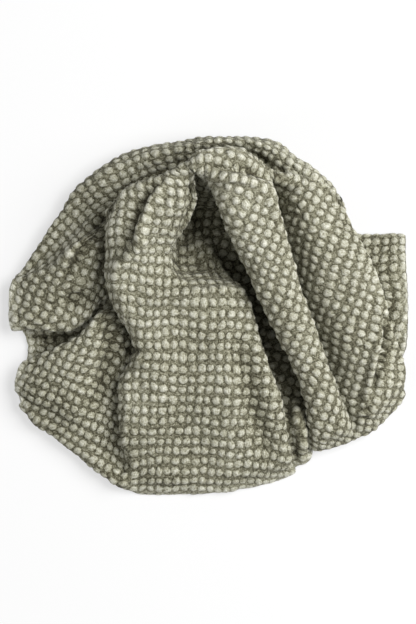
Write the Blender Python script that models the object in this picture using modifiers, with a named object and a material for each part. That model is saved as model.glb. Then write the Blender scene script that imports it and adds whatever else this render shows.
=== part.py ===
"""Waffle weave cotton blanket, thrown down in a loose heap on a table.

The blanket is one rectangle of thick waffle cloth.  Its folds are a net: columns
run from the back hem to the front hem, rows run from the left hem to the right hem,
and each crossing is a point that the cloth is drawn smoothly past.  A fold whose
edge lies over its neighbour has three columns of its own: a top, a roll that is its
outline, and a turn, hidden underneath, where the cloth doubles back.

Metres, +Z up.  The origin is on the table under the middle of the heap, +X is right
and +Y is back.
"""
import bpy
import numpy as np
from mathutils import Matrix

# ---------------------------------------------------------------- driving sizes
HEAP_WIDTH = 0.56          # left hem to right hem, as the heap lies
CLOTH_THICKNESS = 0.004    # floats and ridges of the waffle included
SQUARE = HEAP_WIDTH / 50   # the tables below are drawn on squares of this size
REST = 0.5 * CLOTH_THICKNESS / SQUARE    # middle of cloth that lies on the table

# Distances back of the middle at which the fold lines are given.
STATIONS = np.array([16, 13, 10, 7, 4, 1, -2, -5, -8, -11, -14, -17, -20.0])

# Each fold line seen from above: squares right of the middle, at each station.
LINE_X = {
    "cheek":     (-11.0, -12.1, -12.6, -12.6, -12.5, -11.6, -9.8, -8.9, -11.2, -10.9, -11.1, -9.9, -9.3),
    "brow":      (-4.6, -6.2, -7.9, -11.2, -10.9, -10.0, -8.1, -7.2, -9.3, -9.1, -9.0, -8.3, -7.5),
    "hood":      (-1.1, -0.8, -2.8, -4.8, -4.1, -3.8, -3.6, -3.6, -3.6, -3.6, -3.5, -3.3, -3.0),
    "apron":     (0.1, 0.6, 0.6, 0.9, 3.7, 5.3, 6.1, 6.9, 7.9, 9.2, 9.7, 10.4, 11.4),
    "arm_left":  (0.45, 1.6, 2.8, 3.9, 5.3, 6.8, 8.5, 10.0, 11.3, 12.3, 12.6, 12.7, 12.7),
    "arm_crest": (4.3, 5.3, 6.4, 7.5, 8.6, 9.5, 10.6, 12.1, 13.4, 14.4, 15.1, 15.3, 15.4),
    "arm_right": (7.8, 8.4, 9.3, 10.3, 11.2, 12.1, 13.2, 14.3, 15.3, 16.3, 17.6, 18.1, 18.3),
    "wing":      (16.0, 17.0, 18.3, 19.9, 21.1, 22.0, 22.7, 24.3, 24.7, 23.9, 21.7, 20.2, 20.0),
    "flap":      (24.6, 24.6, 24.6, 24.6, 24.8, 24.9, 24.9, 24.6, 23.3, 21.5, 20.0, 19.0, 19.0),
}
# Height of each line above the table, and of the panels between the lines.
LINE_Z = {
    "cheek":       (7.6, 7.4, 7.3, 7.2, 7.0, 6.7, 6.2, 5.6, 5.0, 4.5, 3.8, 2.8, 1.6),
    "brow":        (11.2, 11.0, 10.5, 9.3, 8.4, 7.7, 6.9, 6.2, 5.7, 5.1, 4.2, 3.1, 2.0),
    "hood":        (10.4, 9.6, 8.5, 7.6, 7.1, 7.0, 6.6, 6.2, 5.7, 5.0, 4.1, 3.1, 2.0),
    "apron_mid":   (3.6, 2.0, 2.2, 4.0, 6.5, 7.2, 6.9, 6.5, 6.1, 5.5, 4.5, 3.3, 2.0),
    "apron":       (3.2, 2.0, 2.2, 3.7, 5.6, 6.2, 6.1, 5.9, 5.4, 4.8, 4.0, 2.9, 1.8),
    "deep":        (2.6, 2.0, 1.8, 1.7, 1.5, 1.3, 1.2, 1.2, 1.2, 1.2, 1.1, 1.0, 0.9),
    "arm_left":    (11.0, 10.4, 9.7, 9.0, 8.3, 7.6, 6.9, 6.2, 5.5, 4.7, 3.8, 2.9, 1.9),
    "arm_crest":   (12.3, 11.6, 10.9, 10.2, 9.5, 8.7, 8.0, 7.3, 6.5, 5.6, 4.4, 3.0, 2.2),
    "arm_right":   (10.2, 9.6, 9.0, 8.4, 7.8, 7.2, 6.6, 6.0, 5.4, 4.6, 3.5, 2.2, 1.8),
    "wing_left":   (8.0, 7.6, 7.2, 6.8, 6.5, 6.2, 5.8, 5.3, 4.7, 4.1, 3.3, 2.2, 1.8),
    "wing_middle": (7.0, 7.3, 7.6, 7.6, 7.5, 7.3, 6.8, 6.1, 5.2, 4.3, 3.2, 2.0, 1.8),
    "wing":        (6.0, 6.0, 6.2, 6.3, 6.3, 6.0, 5.2, 3.9, 3.0, 2.4, 2.0, 1.6, 1.6),
}
# How far the cloth runs back under each lip before it turns; negative where the
# fold has opened out and the turn lies in plain view as a valley.
TUCK = {
    "cheek":     (1.0, 1.6, 2.1, 2.4, 2.7, 2.8, 2.5, 1.7, 2.0, 1.5, 0.6, -0.3, -0.6),
    "hood":      (1.2, 3.3, 2.8, 0.5, -1.2, -1.3, -1.3, -1.3, -1.3, -1.3, -1.3, -1.3, -1.3),
    "apron":     (-0.5, -0.6, 0.0, 2.0, 2.9, 3.3, 3.4, 3.5, 3.5, 3.0, 2.2, 1.2, 0.4),
    "arm_left":  (0.6, 1.4, 1.7, 1.9, 1.9, 1.9, 1.8, 1.7, 1.4, 0.8, 0.2, 0.1, 0.2),
    "arm_right": (0.3, 1.2, 1.7, 1.8, 1.8, 1.7, 1.6, 1.3, 1.0, 0.2, -0.6, -0.8, -0.8),
    "wing":      (0.0, 0.6, 1.9, 2.5, 2.7, 2.8, 2.5, 1.4, 0.1, -0.3, -0.3, -0.3, -0.3),
}
# Left hem, as (back, right) from the ridge's left end to the front corner.
LEFT_HEM = np.array([
    (6.8, -23.3), (4.1, -24.5), (3.3, -24.7), (-0.5, -24.8), (-2.0, -24.3), (-3.0, -22.2),
    (-4.2, -21.8), (-5.2, -22.6), (-6.2, -23.6), (-8.6, -24.0), (-10.4, -23.9), (-11.4, -23.4)])
# The ridge that the front panels hang from, left to right: right, back, height.
RIDGE = np.array([
    (-24.3, 4.4, 1.9), (-22.4, 5.0, 2.9), (-20.0, 5.4, 4.0), (-18.1, 6.5, 5.2),
    (-16.4, 8.3, 6.2), (-13.5, 11.5, 7.0), (-11.1, 14.9, 8.0), (-10.1, 15.9, 8.5),
    (-7.5, 16.6, 9.5), (-5.5, 17.6, 10.6), (-3.1, 18.6, 11.4),
    (-1.5, 19.8, 11.6), (0.5, 20.4, 11.6), (2.5, 20.6, 11.4), (4.1, 20.4, 11.0), (5.8, 19.5, 10.2),
    (7.1, 18.4, 9.4), (8.1, 17.6, 8.8), (9.9, 17.1, 8.0), (11.8, 16.6, 7.4), (13.6, 16.3, 6.9),
    (15.3, 15.5, 6.4), (16.6, 13.6, 6.1)])
# Outline of the band behind the ridge, left to right: right, back.
BACK_OUTLINE = np.array([
    (-23.4, 4.9), (-21.8, 7.2), (-20.4, 10.0), (-18.2, 13.5), (-16.8, 15.5), (-15.0, 17.1),
    (-13.4, 18.5), (-10.1, 20.2), (-6.1, 21.1), (-2.8, 21.7), (1.5, 22.0), (4.6, 22.1), (6.5, 22.2),
    (8.0, 21.7), (9.5, 20.9), (12.1, 18.9), (14.8, 16.9), (16.0, 15.2), (16.8, 13.6), (17.7, 11.9),
    (18.7, 10.2)])

# Columns of the net: share of the way along the ridge and along the back outline,
# and the front outline's right and back.
COLUMNS = [
    # name             ridge  back   front
    ("left_hem",       0.000, 0.000, (-23.7, -11.2)),
    ("left_outer",     0.060, 0.060, (-21.5, -13.6)),
    ("left_inner",     0.140, 0.140, (-17.5, -16.6)),
    ("left_valley",    0.225, 0.200, (-12.2, -20.7)),
    ("cheek_turn",     0.260, 0.230, (-11.5, -21.1)),
    ("cheek_roll",     0.300, 0.260, (-10.9, -21.5)),
    ("cheek_top",      0.345, 0.300, (-9.6, -21.9)),
    ("brow",           0.460, 0.370, (-7.8, -22.2)),
    ("hood_face",      0.500, 0.410, (-5.7, -22.3)),
    ("hood_roll",      0.530, 0.440, (-3.9, -22.2)),
    ("hood_turn",      0.545, 0.460, (-2.4, -22.2)),
    ("apron_left",     0.555, 0.480, (0.6, -22.0)),
    ("apron_middle",   0.565, 0.500, (4.8, -21.5)),
    ("apron_top",      0.575, 0.520, (8.8, -20.5)),
    ("apron_roll",     0.585, 0.540, (11.0, -19.5)),
    ("apron_turn",     0.600, 0.560, (10.2, -18.6)),
    ("deep",           0.610, 0.580, (11.9, -17.9)),
    ("arm_left_turn",  0.620, 0.600, (12.7, -17.0)),
    ("arm_left_roll",  0.635, 0.620, (12.7, -16.6)),
    ("arm_left_top",   0.660, 0.645, (13.5, -16.9)),
    ("arm_crest",      0.700, 0.670, (15.2, -16.6)),
    ("arm_right_top",  0.745, 0.700, (16.9, -16.1)),
    ("arm_right_roll", 0.775, 0.730, (18.0, -15.6)),
    ("arm_right_turn", 0.800, 0.760, (18.6, -15.4)),
    ("wing_left",      0.850, 0.810, (19.8, -14.8)),
    ("wing_middle",    0.900, 0.860, (21.8, -13.4)),
    ("wing_top",       0.965, 0.915, (24.0, -11.0)),
    ("wing_roll",      0.990, 0.945, (24.9, -8.8)),
    ("wing_turn",      1.000, 0.970, (21.4, -7.6)),
    ("flap_middle",    1.000, 1.000, (22.8, -6.9)),
    ("flap_hem",       1.000, 1.000, (24.2, -6.4)),
]
NAMES = [column[0] for column in COLUMNS]
COLUMN = {name: place for place, name in enumerate(NAMES)}

# Rows of the net, back hem to front hem.
UPPER_ROWS = 7
LOWER_ROWS = 8
BACK_NAMES = ["back_hem", "floor", "back_roll", "back_crest", "back_fall", "gutter", "under_ridge", "ridge"]
LEFT_FOLD = ["upper_lip", "upper_roll", "upper_turn", "trough", "lower_turn", "lower_roll", "lower_lip"]
FRONT_NAMES = ["front_top", "front_roll", "front_hem"]
ROWS = (BACK_NAMES + [f"upper_{k}" for k in range(UPPER_ROWS)] + LEFT_FOLD
        + [f"lower_{k}" for k in range(LOWER_ROWS)] + FRONT_NAMES)
ROW = {name: place for place, name in enumerate(ROWS)}

# Heights of the band behind the ridge, by column.
BAND = ("left_hem", "hood_face", "apron_turn", "arm_right_turn", "wing_left", "wing_top", "flap_hem")
BAND_FALL_Z = (1.5, 4.2, 5.2, 5.4, 6.0, 4.6, 3.2)
BAND_CREST_Z = (1.4, 4.6, 6.2, 5.9, 5.7, 4.6, 2.9)
BAND_ROLL_AT, BAND_ROLL_Z = ("left_hem", "left_inner", "wing_middle", "flap_hem"), (1.0, 1.9, 1.9, 1.2)
# How far the ridge hangs over that band: 0 is a plain valley, 1 a full overhang.
OVERHANG_AT = ("left_hem", "left_inner", "left_valley", "cheek_roll", "arm_right_top", "arm_right_turn",
               "wing_left", "flap_hem")
OVERHANG = (0.0, 0.1, 0.4, 1.0, 1.0, 0.5, 0.1, 0.1)

# The peak: the crease just in front of the ridge, from the hood to the right arm.
PEAK_AT = ("hood_roll", "hood_turn", "arm_left_roll", "arm_left_top", "arm_crest", "arm_right_top",
           "arm_right_roll")
PEAK_X = (-2.0, -1.8, 0.4, 1.5, 3.3, 5.4, 7.2)
PEAK_Y = (18.2, 18.2, 17.3, 17.0, 16.8, 16.6, 16.6)
PEAK_Z = (11.5, 11.9, 12.4, 12.3, 12.4, 11.3, 9.6)
# Back wall of the hollow under the peak.
HOLLOW_BACK_Y = 15.8
HOLLOW_AT = ("hood_turn", "apron_left", "deep", "arm_left_turn")
HOLLOW_BACK_Z = (9.6, 7.5, 7.0, 9.0)

# The fold that stands up between the apron and the right arm, near the front: heights.
STANDING_FOLD = {
    "lower_4": 1.3, "lower_5": 3.8, "lower_6": 3.7, "lower_7": 3.0, "front_top": 1.9, "front_roll": 1.0}

# The fold across the left side, by share of the way from the left hem to the cheek.
UPPER_EDGE_AT, UPPER_EDGE_Y = (0, 0.6), (-2.0, -2.1)
LOWER_EDGE_AT, LOWER_EDGE_Y = (0, 0.25, 0.6), (-5.6, -4.2, -1.9)
UPPER_PANEL_AT, UPPER_PANEL_Z = (0, 0.3, 0.6), (1.8, 3.4, 3.3)
LOWER_PANEL_AT, LOWER_PANEL_Z = (0, 0.25, 0.6), (1.9, 3.6, 5.2)
# The same fold where it has closed up, at the foot of the cheek.
CLOSED_FOLD_Y = (2.9, 2.5, 2.1, 1.8, 1.5, 1.3, 0.6)
CLOSED_FOLD_Z = (4.0, 3.7, 3.4, 3.3, 3.6, 4.3, 4.9)
# The flap's back hem, turned under once: back and height of its first rows.
TURNED_HEM = {
    "flap": ((9.3, 9.8, 10.15, 9.9, 9.3), (0.1, 0.1, 0.42, 0.8, 0.9)),
    "under_wing": ((8.9, 9.7, 10.3, 10.0, 9.4), (0.1, 0.1, 0.8, 1.3, 1.3)),
}


def at(table, name, back):
    """Value of one fold line's row at the distances back, straight between stations."""
    return np.interp(-back, -STATIONS, table[name])


def along(line, share):
    """Points at a share of a line's length as seen from above, straight between its points."""
    steps = np.hypot(*np.diff(line[:, :2], axis=0).T)
    reach = np.concatenate([[0], np.cumsum(steps)]) / steps.sum()
    return np.stack([np.interp(share, reach, line[:, axis]) for axis in range(line.shape[1])], axis=-1)


def by_column(names, values):
    """One value for each column, straight between the named ones."""
    return np.interp(np.arange(len(NAMES)), [COLUMN[name] for name in names], values)


def section(back):
    """Right and height of every column where it crosses the distances back."""
    hem = np.interp(-back, -LEFT_HEM[:, 0], LEFT_HEM[:, 1])
    x = {name: at(LINE_X, name, back) for name in LINE_X}
    z = {name: at(LINE_Z, name, back) for name in LINE_Z}
    tuck = {name: at(TUCK, name, back) for name in TUCK}
    closed = {name: np.clip(tuck[name] / 1.2, 0, 1) for name in TUCK}

    left_span = x["cheek"] - hem
    beside_cheek = np.minimum(at(LINE_X, "cheek", back - 1.5), at(LINE_X, "cheek", back + 1.5))
    beside_cheek = np.minimum(beside_cheek, x["cheek"])
    brow = np.maximum(x["brow"], x["cheek"] + 1.3)
    bowl_left = x["hood"] - tuck["hood"]
    bowl_right = x["arm_left"] + tuck["arm_left"]
    apron_start = np.maximum(bowl_left, x["hood"]) + 0.3
    apron_span = x["apron"] - apron_start
    open_bowl = 1 - np.clip(tuck["apron"], 0, 1)

    def in_bowl(step, folded):
        """Even spacing across the hollow where the apron has no fold of its own."""
        even = bowl_left + (bowl_right - bowl_left) * step / 7
        return folded + (even - folded) * open_bowl

    hood_drop = np.clip(tuck["hood"] / 2, 0, 1)
    wing_span = x["wing"] - x["arm_right"]
    flap_reach = 0.5 * np.maximum(x["flap"] - x["wing"], 3.4)
    arm_fall = np.clip(tuck["arm_right"], 0, 1)
    return {
        "left_hem": (hem, 1.3 + 0 * back),
        "left_outer": (hem + 0.22 * left_span, 4.2 + 0 * back),
        "left_inner": (hem + 0.60 * left_span, 4.8 + 0 * back),
        "left_valley": (beside_cheek - 0.35 - 0.8 * (1 - closed["cheek"]), 4.2 + 0 * back),
        "cheek_turn": (x["cheek"] + tuck["cheek"], z["cheek"] - 0.8 - closed["cheek"] * (z["cheek"] - 2.2)),
        "cheek_roll": (x["cheek"] - 0.1, z["cheek"] - 1.3 * closed["cheek"]),
        "cheek_top": (x["cheek"] + 0.75, z["cheek"] + 0.3),
        "brow": (brow, z["brow"]),
        "hood_face": (0.45 * brow + 0.55 * x["hood"], 0.35 * z["brow"] + 0.65 * z["hood"] + 0.2),
        "hood_roll": (x["hood"] + 0.1, z["hood"] - 0.6 * closed["hood"]),
        "hood_turn": (bowl_left, z["hood"] + 0.8 * (z["apron_mid"] - z["hood"]) * hood_drop),
        "apron_left": (in_bowl(1, apron_start + 0.30 * apron_span), z["apron_mid"]),
        "apron_middle": (in_bowl(2, apron_start + 0.62 * apron_span), z["apron_mid"]),
        "apron_top": (in_bowl(3, x["apron"] - 0.7), z["apron"] + 0.3),
        "apron_roll": (in_bowl(4, x["apron"] + 0.3), z["apron"] - 0.9 * (1 - open_bowl)),
        "apron_turn": (in_bowl(5, x["apron"] - tuck["apron"]), np.maximum(z["deep"] + 0.3, 0.8)),
        "deep": (in_bowl(6, 0.5 * (x["apron"] + x["arm_left"])), z["deep"]),
        "arm_left_turn": (bowl_right, z["deep"] + 0.3),
        "arm_left_roll": (x["arm_left"] - 0.3, z["arm_left"] - 1.3),
        "arm_left_top": (0.75 * x["arm_left"] + 0.25 * x["arm_crest"],
                         0.3 * z["arm_left"] + 0.7 * z["arm_crest"]),
        "arm_crest": (x["arm_crest"], z["arm_crest"]),
        "arm_right_top": (0.75 * x["arm_right"] + 0.25 * x["arm_crest"],
                          0.4 * z["arm_right"] + 0.6 * z["arm_crest"]),
        "arm_right_roll": (x["arm_right"] + 0.3, z["arm_right"] - 1.0),
        "arm_right_turn": (x["arm_right"] - tuck["arm_right"] + 0.7 * (1 - closed["arm_right"]),
                           z["arm_right"] - 1.3 - (z["arm_right"] - 3.1) * arm_fall),
        "wing_left": (x["arm_right"] + 0.6 * (1 - closed["arm_right"]) + 0.22 * wing_span, z["wing_left"]),
        "wing_middle": (x["arm_right"] + 0.62 * wing_span, z["wing_middle"]),
        "wing_top": (x["wing"] - 0.9, z["wing"] + 0.2),
        "wing_roll": (x["wing"] + 0.1, z["wing"] - 0.7),
        "wing_turn": (np.minimum(x["wing"] - tuck["wing"], x["flap"] - flap_reach - 1.3),
                      np.interp(back, (-3, 3), (0.6, 0.9))),
        "flap_middle": (x["flap"] - flap_reach, np.interp(back, (-4, 2), (0.3, 1.2))),
        "flap_hem": (x["flap"] - 0.8 * np.clip((-4 - back) / 3, 0, 1), np.interp(back, (-4, 2), (0.3, 0.9))),
    }


def left_fold_rows(share):
    """Back and height of the seven rows of the fold across the left side."""
    if share == 1:
        return np.array(CLOSED_FOLD_Y), np.array(CLOSED_FOLD_Z)
    upper = np.interp(share, UPPER_EDGE_AT, UPPER_EDGE_Y)
    lower = np.interp(share, LOWER_EDGE_AT, LOWER_EDGE_Y)
    upper_z = np.interp(share, UPPER_PANEL_AT, UPPER_PANEL_Z)
    lower_z = np.interp(share, LOWER_PANEL_AT, LOWER_PANEL_Z)
    back = (upper + 1.1, upper, upper + 2.4, 0.5 * (upper + lower) - 0.6 * share,
            lower - 2.2 - 1.2 * share, lower, lower - 0.9)
    height = (upper_z, upper_z - 0.9, 0.9, 0.5, 1.1 + 0.8 * share, lower_z - 0.9, lower_z)
    if share == 0:
        height = (1.9, 1.6, 0.8, 0.4, 0.8, 1.6, 1.9)
    return np.array(back), np.array(height)


def left_rows(name, ridge, front):
    """Points of a column left of the cheek, between the ridge and the front."""
    share = {"left_hem": 0.0, "left_outer": 0.3, "left_inner": 0.65, "left_valley": 1.0}[name]
    fold_back, fold_z = left_fold_rows(share)
    back = np.concatenate([
        np.linspace(ridge[1] - 1.0, fold_back[0] + 1.0, UPPER_ROWS), fold_back,
        np.linspace(fold_back[-1] - 1.5, front[1] + 1.9, LOWER_ROWS)])
    x, _ = section(back)[name]
    fall = np.linspace(0, 1, UPPER_ROWS)
    rise = np.linspace(0, 1, LOWER_ROWS)
    upper_z = np.interp(fall, (0, 0.7, 1), (ridge[2] - 0.3, min(ridge[2] - 0.5, 4.4), fold_z[0] + 0.3))
    lower_z = np.interp(rise, (0, 0.7, 1), (fold_z[-1], 0.5 * fold_z[-1] + 1.4, 2.3))
    if name == "left_hem":
        upper_z[:], lower_z[:] = 1.7, 1.6
    if name == "left_valley":
        upper_z[:3] = 5.4, 5.1, 4.8
        under_cheek = at(LINE_Z, "cheek", back[-LOWER_ROWS:]) - 1.9
        lower_z = np.minimum(lower_z, np.maximum(under_cheek, 0.6))
    return np.stack([x, back, np.concatenate([upper_z, fold_z, lower_z])], axis=-1)


def fan_rows(name, ridge, front):
    """Points of a column right of the cheek, between the ridge and the front."""
    back = np.concatenate([
        np.linspace(ridge[1] - 1.5, 3.6, UPPER_ROWS), np.linspace(2.6, -1.6, len(LEFT_FOLD)),
        np.linspace(-3.0, front[1] + 1.9, LOWER_ROWS)])
    x, z = section(back)[name]
    points = np.stack([x, back, z], axis=-1)
    place = COLUMN[name]
    if COLUMN[PEAK_AT[0]] <= place <= COLUMN[PEAK_AT[-1]]:
        points[0] = [by_column(PEAK_AT, values)[place] for values in (PEAK_X, PEAK_Y, PEAK_Z)]
    if COLUMN[HOLLOW_AT[0]] <= place <= COLUMN[HOLLOW_AT[-1]]:
        points[1, 1:] = HOLLOW_BACK_Y, by_column(HOLLOW_AT, HOLLOW_BACK_Z)[place]
    if name == "cheek_turn":
        for row, (row_back, row_z) in enumerate(((12.2, 2.9), (11.1, 2.5), (9.6, 2.0))):
            points[row] = at(LINE_X, "cheek", np.array(row_back)) + 1.3 + 0.3 * row, row_back, row_z
    return points


def back_rows(place, ridge, outline):
    """Points of a column from the back hem over the outer band to the ridge."""
    overhang = by_column(OVERHANG_AT, OVERHANG)[place]
    outward = outline - ridge[:2]
    depth = np.hypot(*outward)
    outward /= depth
    from_middle = ridge[:2] - (0, 5.0)
    over = outward * (1 - overhang) + from_middle / np.hypot(*from_middle) * overhang
    over /= np.hypot(*over)
    valley = 1 - overhang
    fall_z, crest_z = by_column(BAND, BAND_FALL_Z)[place], by_column(BAND, BAND_CREST_Z)[place]
    under = ridge[:2] + over * (min(0.3, 0.08 * depth) * valley - 0.5 * overhang)
    gutter = ridge[:2] + over * (min(0.9, 0.18 * depth) * valley - 1.6 * overhang)
    gutter_z = overhang * np.clip(0.3 * ridge[2], 1, 3) + valley * (ridge[2] - min(1.2, 0.25 * ridge[2]))
    return np.array([
        (outline[0] * 0.8, max(min(9.6, outline[1] - 4), 3.0), 0.1),
        (*(outline - outward * min(2.0, 0.8 * depth)), 0.1),
        (*outline, by_column(BAND_ROLL_AT, BAND_ROLL_Z)[place]),
        (*(ridge[:2] + outward * 0.72 * depth), crest_z),
        (*(ridge[:2] + outward * 0.35 * depth), fall_z),
        (*gutter, gutter_z),
        (*under, ridge[2] - 1.5 * overhang - min(0.5, 0.1 * ridge[2]) * valley),
        ridge])


def front_rows(name, front, outward):
    """Points of a column round the front outline to its hem."""
    if name in ("wing_turn", "flap_middle", "flap_hem"):
        height = 0.6 if name == "wing_turn" else 0.1
        return np.array([(front[0], front[1] + step, height) for step in (1.3, 0.6, 0.0)])
    if name in ("apron_turn", "deep", "arm_left_turn"):
        steps, heights = (-0.9, 0.0, 0.5), (0.5, 0.3, 0.1)
    elif COLUMN["cheek_top"] <= COLUMN[name] <= COLUMN["apron_roll"]:
        steps, heights = (-1.2, -0.4, 0.0), (1.3, 0.7, 0.1)
    else:
        steps, heights = (-0.9, 0.0, -2.0), (2.0, 1.1, 1.1 if name == "wing_roll" else 0.1)
    return np.array([(*(front + outward * step), height) for step, height in zip(steps, heights)])


def fold_net():
    """The net of fold lines: rows by columns of right, back and height, in squares."""
    ridges = along(RIDGE, [column[1] for column in COLUMNS])
    outlines = along(BACK_OUTLINE, [column[2] for column in COLUMNS])
    fronts = np.array([column[3] for column in COLUMNS])
    ridges[COLUMN["left_valley"], 2] = 5.8
    forward = np.gradient(fronts, axis=0)
    outwards = np.stack([forward[:, 1], -forward[:, 0]], axis=-1)
    outwards /= np.linalg.norm(outwards, axis=1, keepdims=True)
    columns = []
    for place, name in enumerate(NAMES):
        ridge, front = ridges[place], fronts[place]
        rows = left_rows if place <= COLUMN["left_valley"] else fan_rows
        columns.append(np.concatenate([
            back_rows(place, ridge, outlines[place]), rows(name, ridge, front),
            front_rows(name, front, outwards[place])]))
    net = np.stack(columns, axis=1)
    valley, turn = COLUMN["left_valley"], COLUMN["cheek_turn"]
    net[ROW["gutter"]:ROW["ridge"], valley, 2] = 4.2, 5.0
    net[ROW["gutter"]:ROW["ridge"] + 1, turn] = (-11.7, 13.4, 3.5), (-11.4, 13.1, 3.3), (-11.1, 12.8, 3.1)
    net[ROW["gutter"], COLUMN["cheek_roll"]] = (-10.4, 14.2, 3.6)
    for name, height in STANDING_FOLD.items():
        net[ROW[name], COLUMN["deep"], 2] = height
    # The right-hand flap runs straight from the back hem, with no band behind it.
    last = ROW["lower_lip"]
    for name in ("wing_turn", "flap_middle", "flap_hem"):
        turned_back, turned_z = TURNED_HEM["under_wing" if name == "wing_turn" else "flap"]
        turned = len(turned_back)
        back = np.linspace(turned_back[-1], net[last, COLUMN[name], 1], last + 2 - turned)
        back = np.concatenate([turned_back[:-1], back])
        x, z = section(back)[name]
        z[:turned] = turned_z
        net[:last + 1, COLUMN[name]] = np.stack([x, back, z], axis=-1)
    return net


def spline_weights(count, samples):
    """Weights of a uniform cubic B-spline on count points, run straight on past its ends."""
    cell = np.clip(np.floor(samples).astype(int), 0, count - 2)
    t = samples - cell
    blend = np.stack([(1 - t) ** 3, 3 * t**3 - 6 * t**2 + 4, -3 * t**3 + 3 * t**2 + 3 * t + 1, t**3]) / 6
    padded = np.zeros((len(samples), count + 2))
    for step in range(4):
        padded[np.arange(len(samples)), cell + step] = blend[step]
    weights = padded[:, 1:-1].copy()
    weights[:, 0] += 2 * padded[:, 0]
    weights[:, 1] -= padded[:, 0]
    weights[:, -1] += 2 * padded[:, -1]
    weights[:, -2] -= padded[:, -1]
    return weights


def cloth_surface(row_samples, column_samples):
    """Middle surface of the cloth in metres: the net, pushed out by most of what the
    smoothing takes off it, drawn smooth, and laid flat where it meets the table."""
    net = fold_net()
    rows, columns = net.shape[:2]
    across = spline_weights(rows, np.arange(rows)), spline_weights(columns, np.arange(columns))
    net = net + 0.8 * (net - np.einsum("ri,cj,ijk->rck", *across, net))
    weights = spline_weights(rows, row_samples), spline_weights(columns, column_samples)
    surface = np.einsum("ri,cj,ijk->rck", *weights, net)
    surface[..., 2] = np.maximum(surface[..., 2], REST)
    return surface * SQUARE


def samples(names, halved):
    """One sample at each name, and one more after each name that bends sharply."""
    extra = [place + 0.5 for place, name in enumerate(names[:-1]) if name in halved]
    return np.array(sorted([*range(len(names)), *extra]), dtype=float)


HALVED_ROWS = {"back_hem", "floor", "back_roll", "gutter", "under_ridge", "upper_lip", "upper_roll",
               "upper_turn", "trough", "lower_turn", "lower_roll", "front_top", "front_roll"}
HALVED_COLUMNS = {"left_valley", "cheek_turn", "cheek_roll", "hood_face", "hood_roll", "apron_roll",
                  "apron_turn", "deep", "arm_left_turn", "arm_left_roll", "arm_right_top",
                  "arm_right_roll", "arm_right_turn", "wing_top", "wing_roll", "wing_turn"}


def cotton():
    """Plain grey-green cotton."""
    material = bpy.data.materials.new("waffle_cotton")
    material.use_nodes = True
    shader = material.node_tree.nodes["Principled BSDF"]
    shader.inputs["Base Color"].default_value = (0.30, 0.30, 0.22, 1)
    shader.inputs["Roughness"].default_value = 0.95
    material.diffuse_color = (0.30, 0.30, 0.22, 1)
    return material


def blanket():
    """The heap: a grid drawn into the folds and given the cloth's thickness."""
    surface = cloth_surface(samples(ROWS, HALVED_ROWS), samples(NAMES, HALVED_COLUMNS))
    rows, columns = surface.shape[:2]
    bpy.ops.mesh.primitive_grid_add(x_subdivisions=columns - 1, y_subdivisions=rows - 1)
    cloth = bpy.context.object
    cloth.name = "blanket"
    # The grid's vertices run left to right and front to back.
    cloth.data.vertices.foreach_set("co", surface[::-1].ravel())
    cloth.data.materials.append(cotton())
    cloth.data.shade_smooth()
    cloth.data.update()
    thickness = cloth.modifiers.new("thickness", "SOLIDIFY")
    thickness.thickness = CLOTH_THICKNESS
    thickness.offset = 0
    return cloth


def centre(cloth):
    """Slide the cloth over the table until the middle of its outline is at the origin."""
    solid = cloth.evaluated_get(bpy.context.evaluated_depsgraph_get())
    corners = np.array([corner[:] for corner in solid.bound_box])
    middle = 0.5 * (corners.min(axis=0) + corners.max(axis=0))
    cloth.data.transform(Matrix.Translation((-middle[0], -middle[1], 0)))


def main():
    for old in list(bpy.data.objects):
        bpy.data.objects.remove(old, do_unlink=True)
    heap = bpy.data.collections.new("waffle_blanket")
    bpy.context.scene.collection.children.link(heap)
    cloth = blanket()
    for collection in list(cloth.users_collection):
        collection.objects.unlink(cloth)
    heap.objects.link(cloth)
    centre(cloth)


main()
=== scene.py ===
"""Looks of the waffle weave cotton blanket: the thin cloth on its folds, its weave and colour.

The cloth is one sheet.  Its folds are drawn from the same tables of fold lines as the solid.
The weave is laid over them by its own two coordinates, counted in cells of the waffle, so
the rows of cells run on from panel to panel, and every cell is a puffy pad with a groove
round it.
"""
from types import SimpleNamespace

import bpy
import numpy as np
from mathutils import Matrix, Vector


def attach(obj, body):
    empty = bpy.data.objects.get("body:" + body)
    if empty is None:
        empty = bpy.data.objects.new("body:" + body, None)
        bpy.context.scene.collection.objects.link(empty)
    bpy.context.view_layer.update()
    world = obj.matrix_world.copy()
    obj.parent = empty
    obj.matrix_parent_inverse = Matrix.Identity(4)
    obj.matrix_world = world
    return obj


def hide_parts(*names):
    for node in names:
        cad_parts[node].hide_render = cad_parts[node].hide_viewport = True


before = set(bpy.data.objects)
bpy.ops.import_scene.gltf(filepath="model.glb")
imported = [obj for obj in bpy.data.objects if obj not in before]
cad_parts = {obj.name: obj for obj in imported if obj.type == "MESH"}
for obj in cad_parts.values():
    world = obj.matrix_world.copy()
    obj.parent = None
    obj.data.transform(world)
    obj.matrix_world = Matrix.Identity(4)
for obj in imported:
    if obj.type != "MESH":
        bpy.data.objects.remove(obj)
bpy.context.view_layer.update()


# ---------------------------------------------------------------- driving sizes
HEAP_WIDTH = 0.56          # left hem to right hem, as the heap lies
CLOTH_THICKNESS = 0.004    # floats and ridges of the waffle included
SQUARE = HEAP_WIDTH / 50   # the tables below are drawn on squares of this size
REST = 0.5 * CLOTH_THICKNESS / SQUARE    # middle of cloth that lies on the table

# Distances back of the middle at which the fold lines are given.
STATIONS = np.array([16, 13, 10, 7, 4, 1, -2, -5, -8, -11, -14, -17, -20.0])

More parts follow.
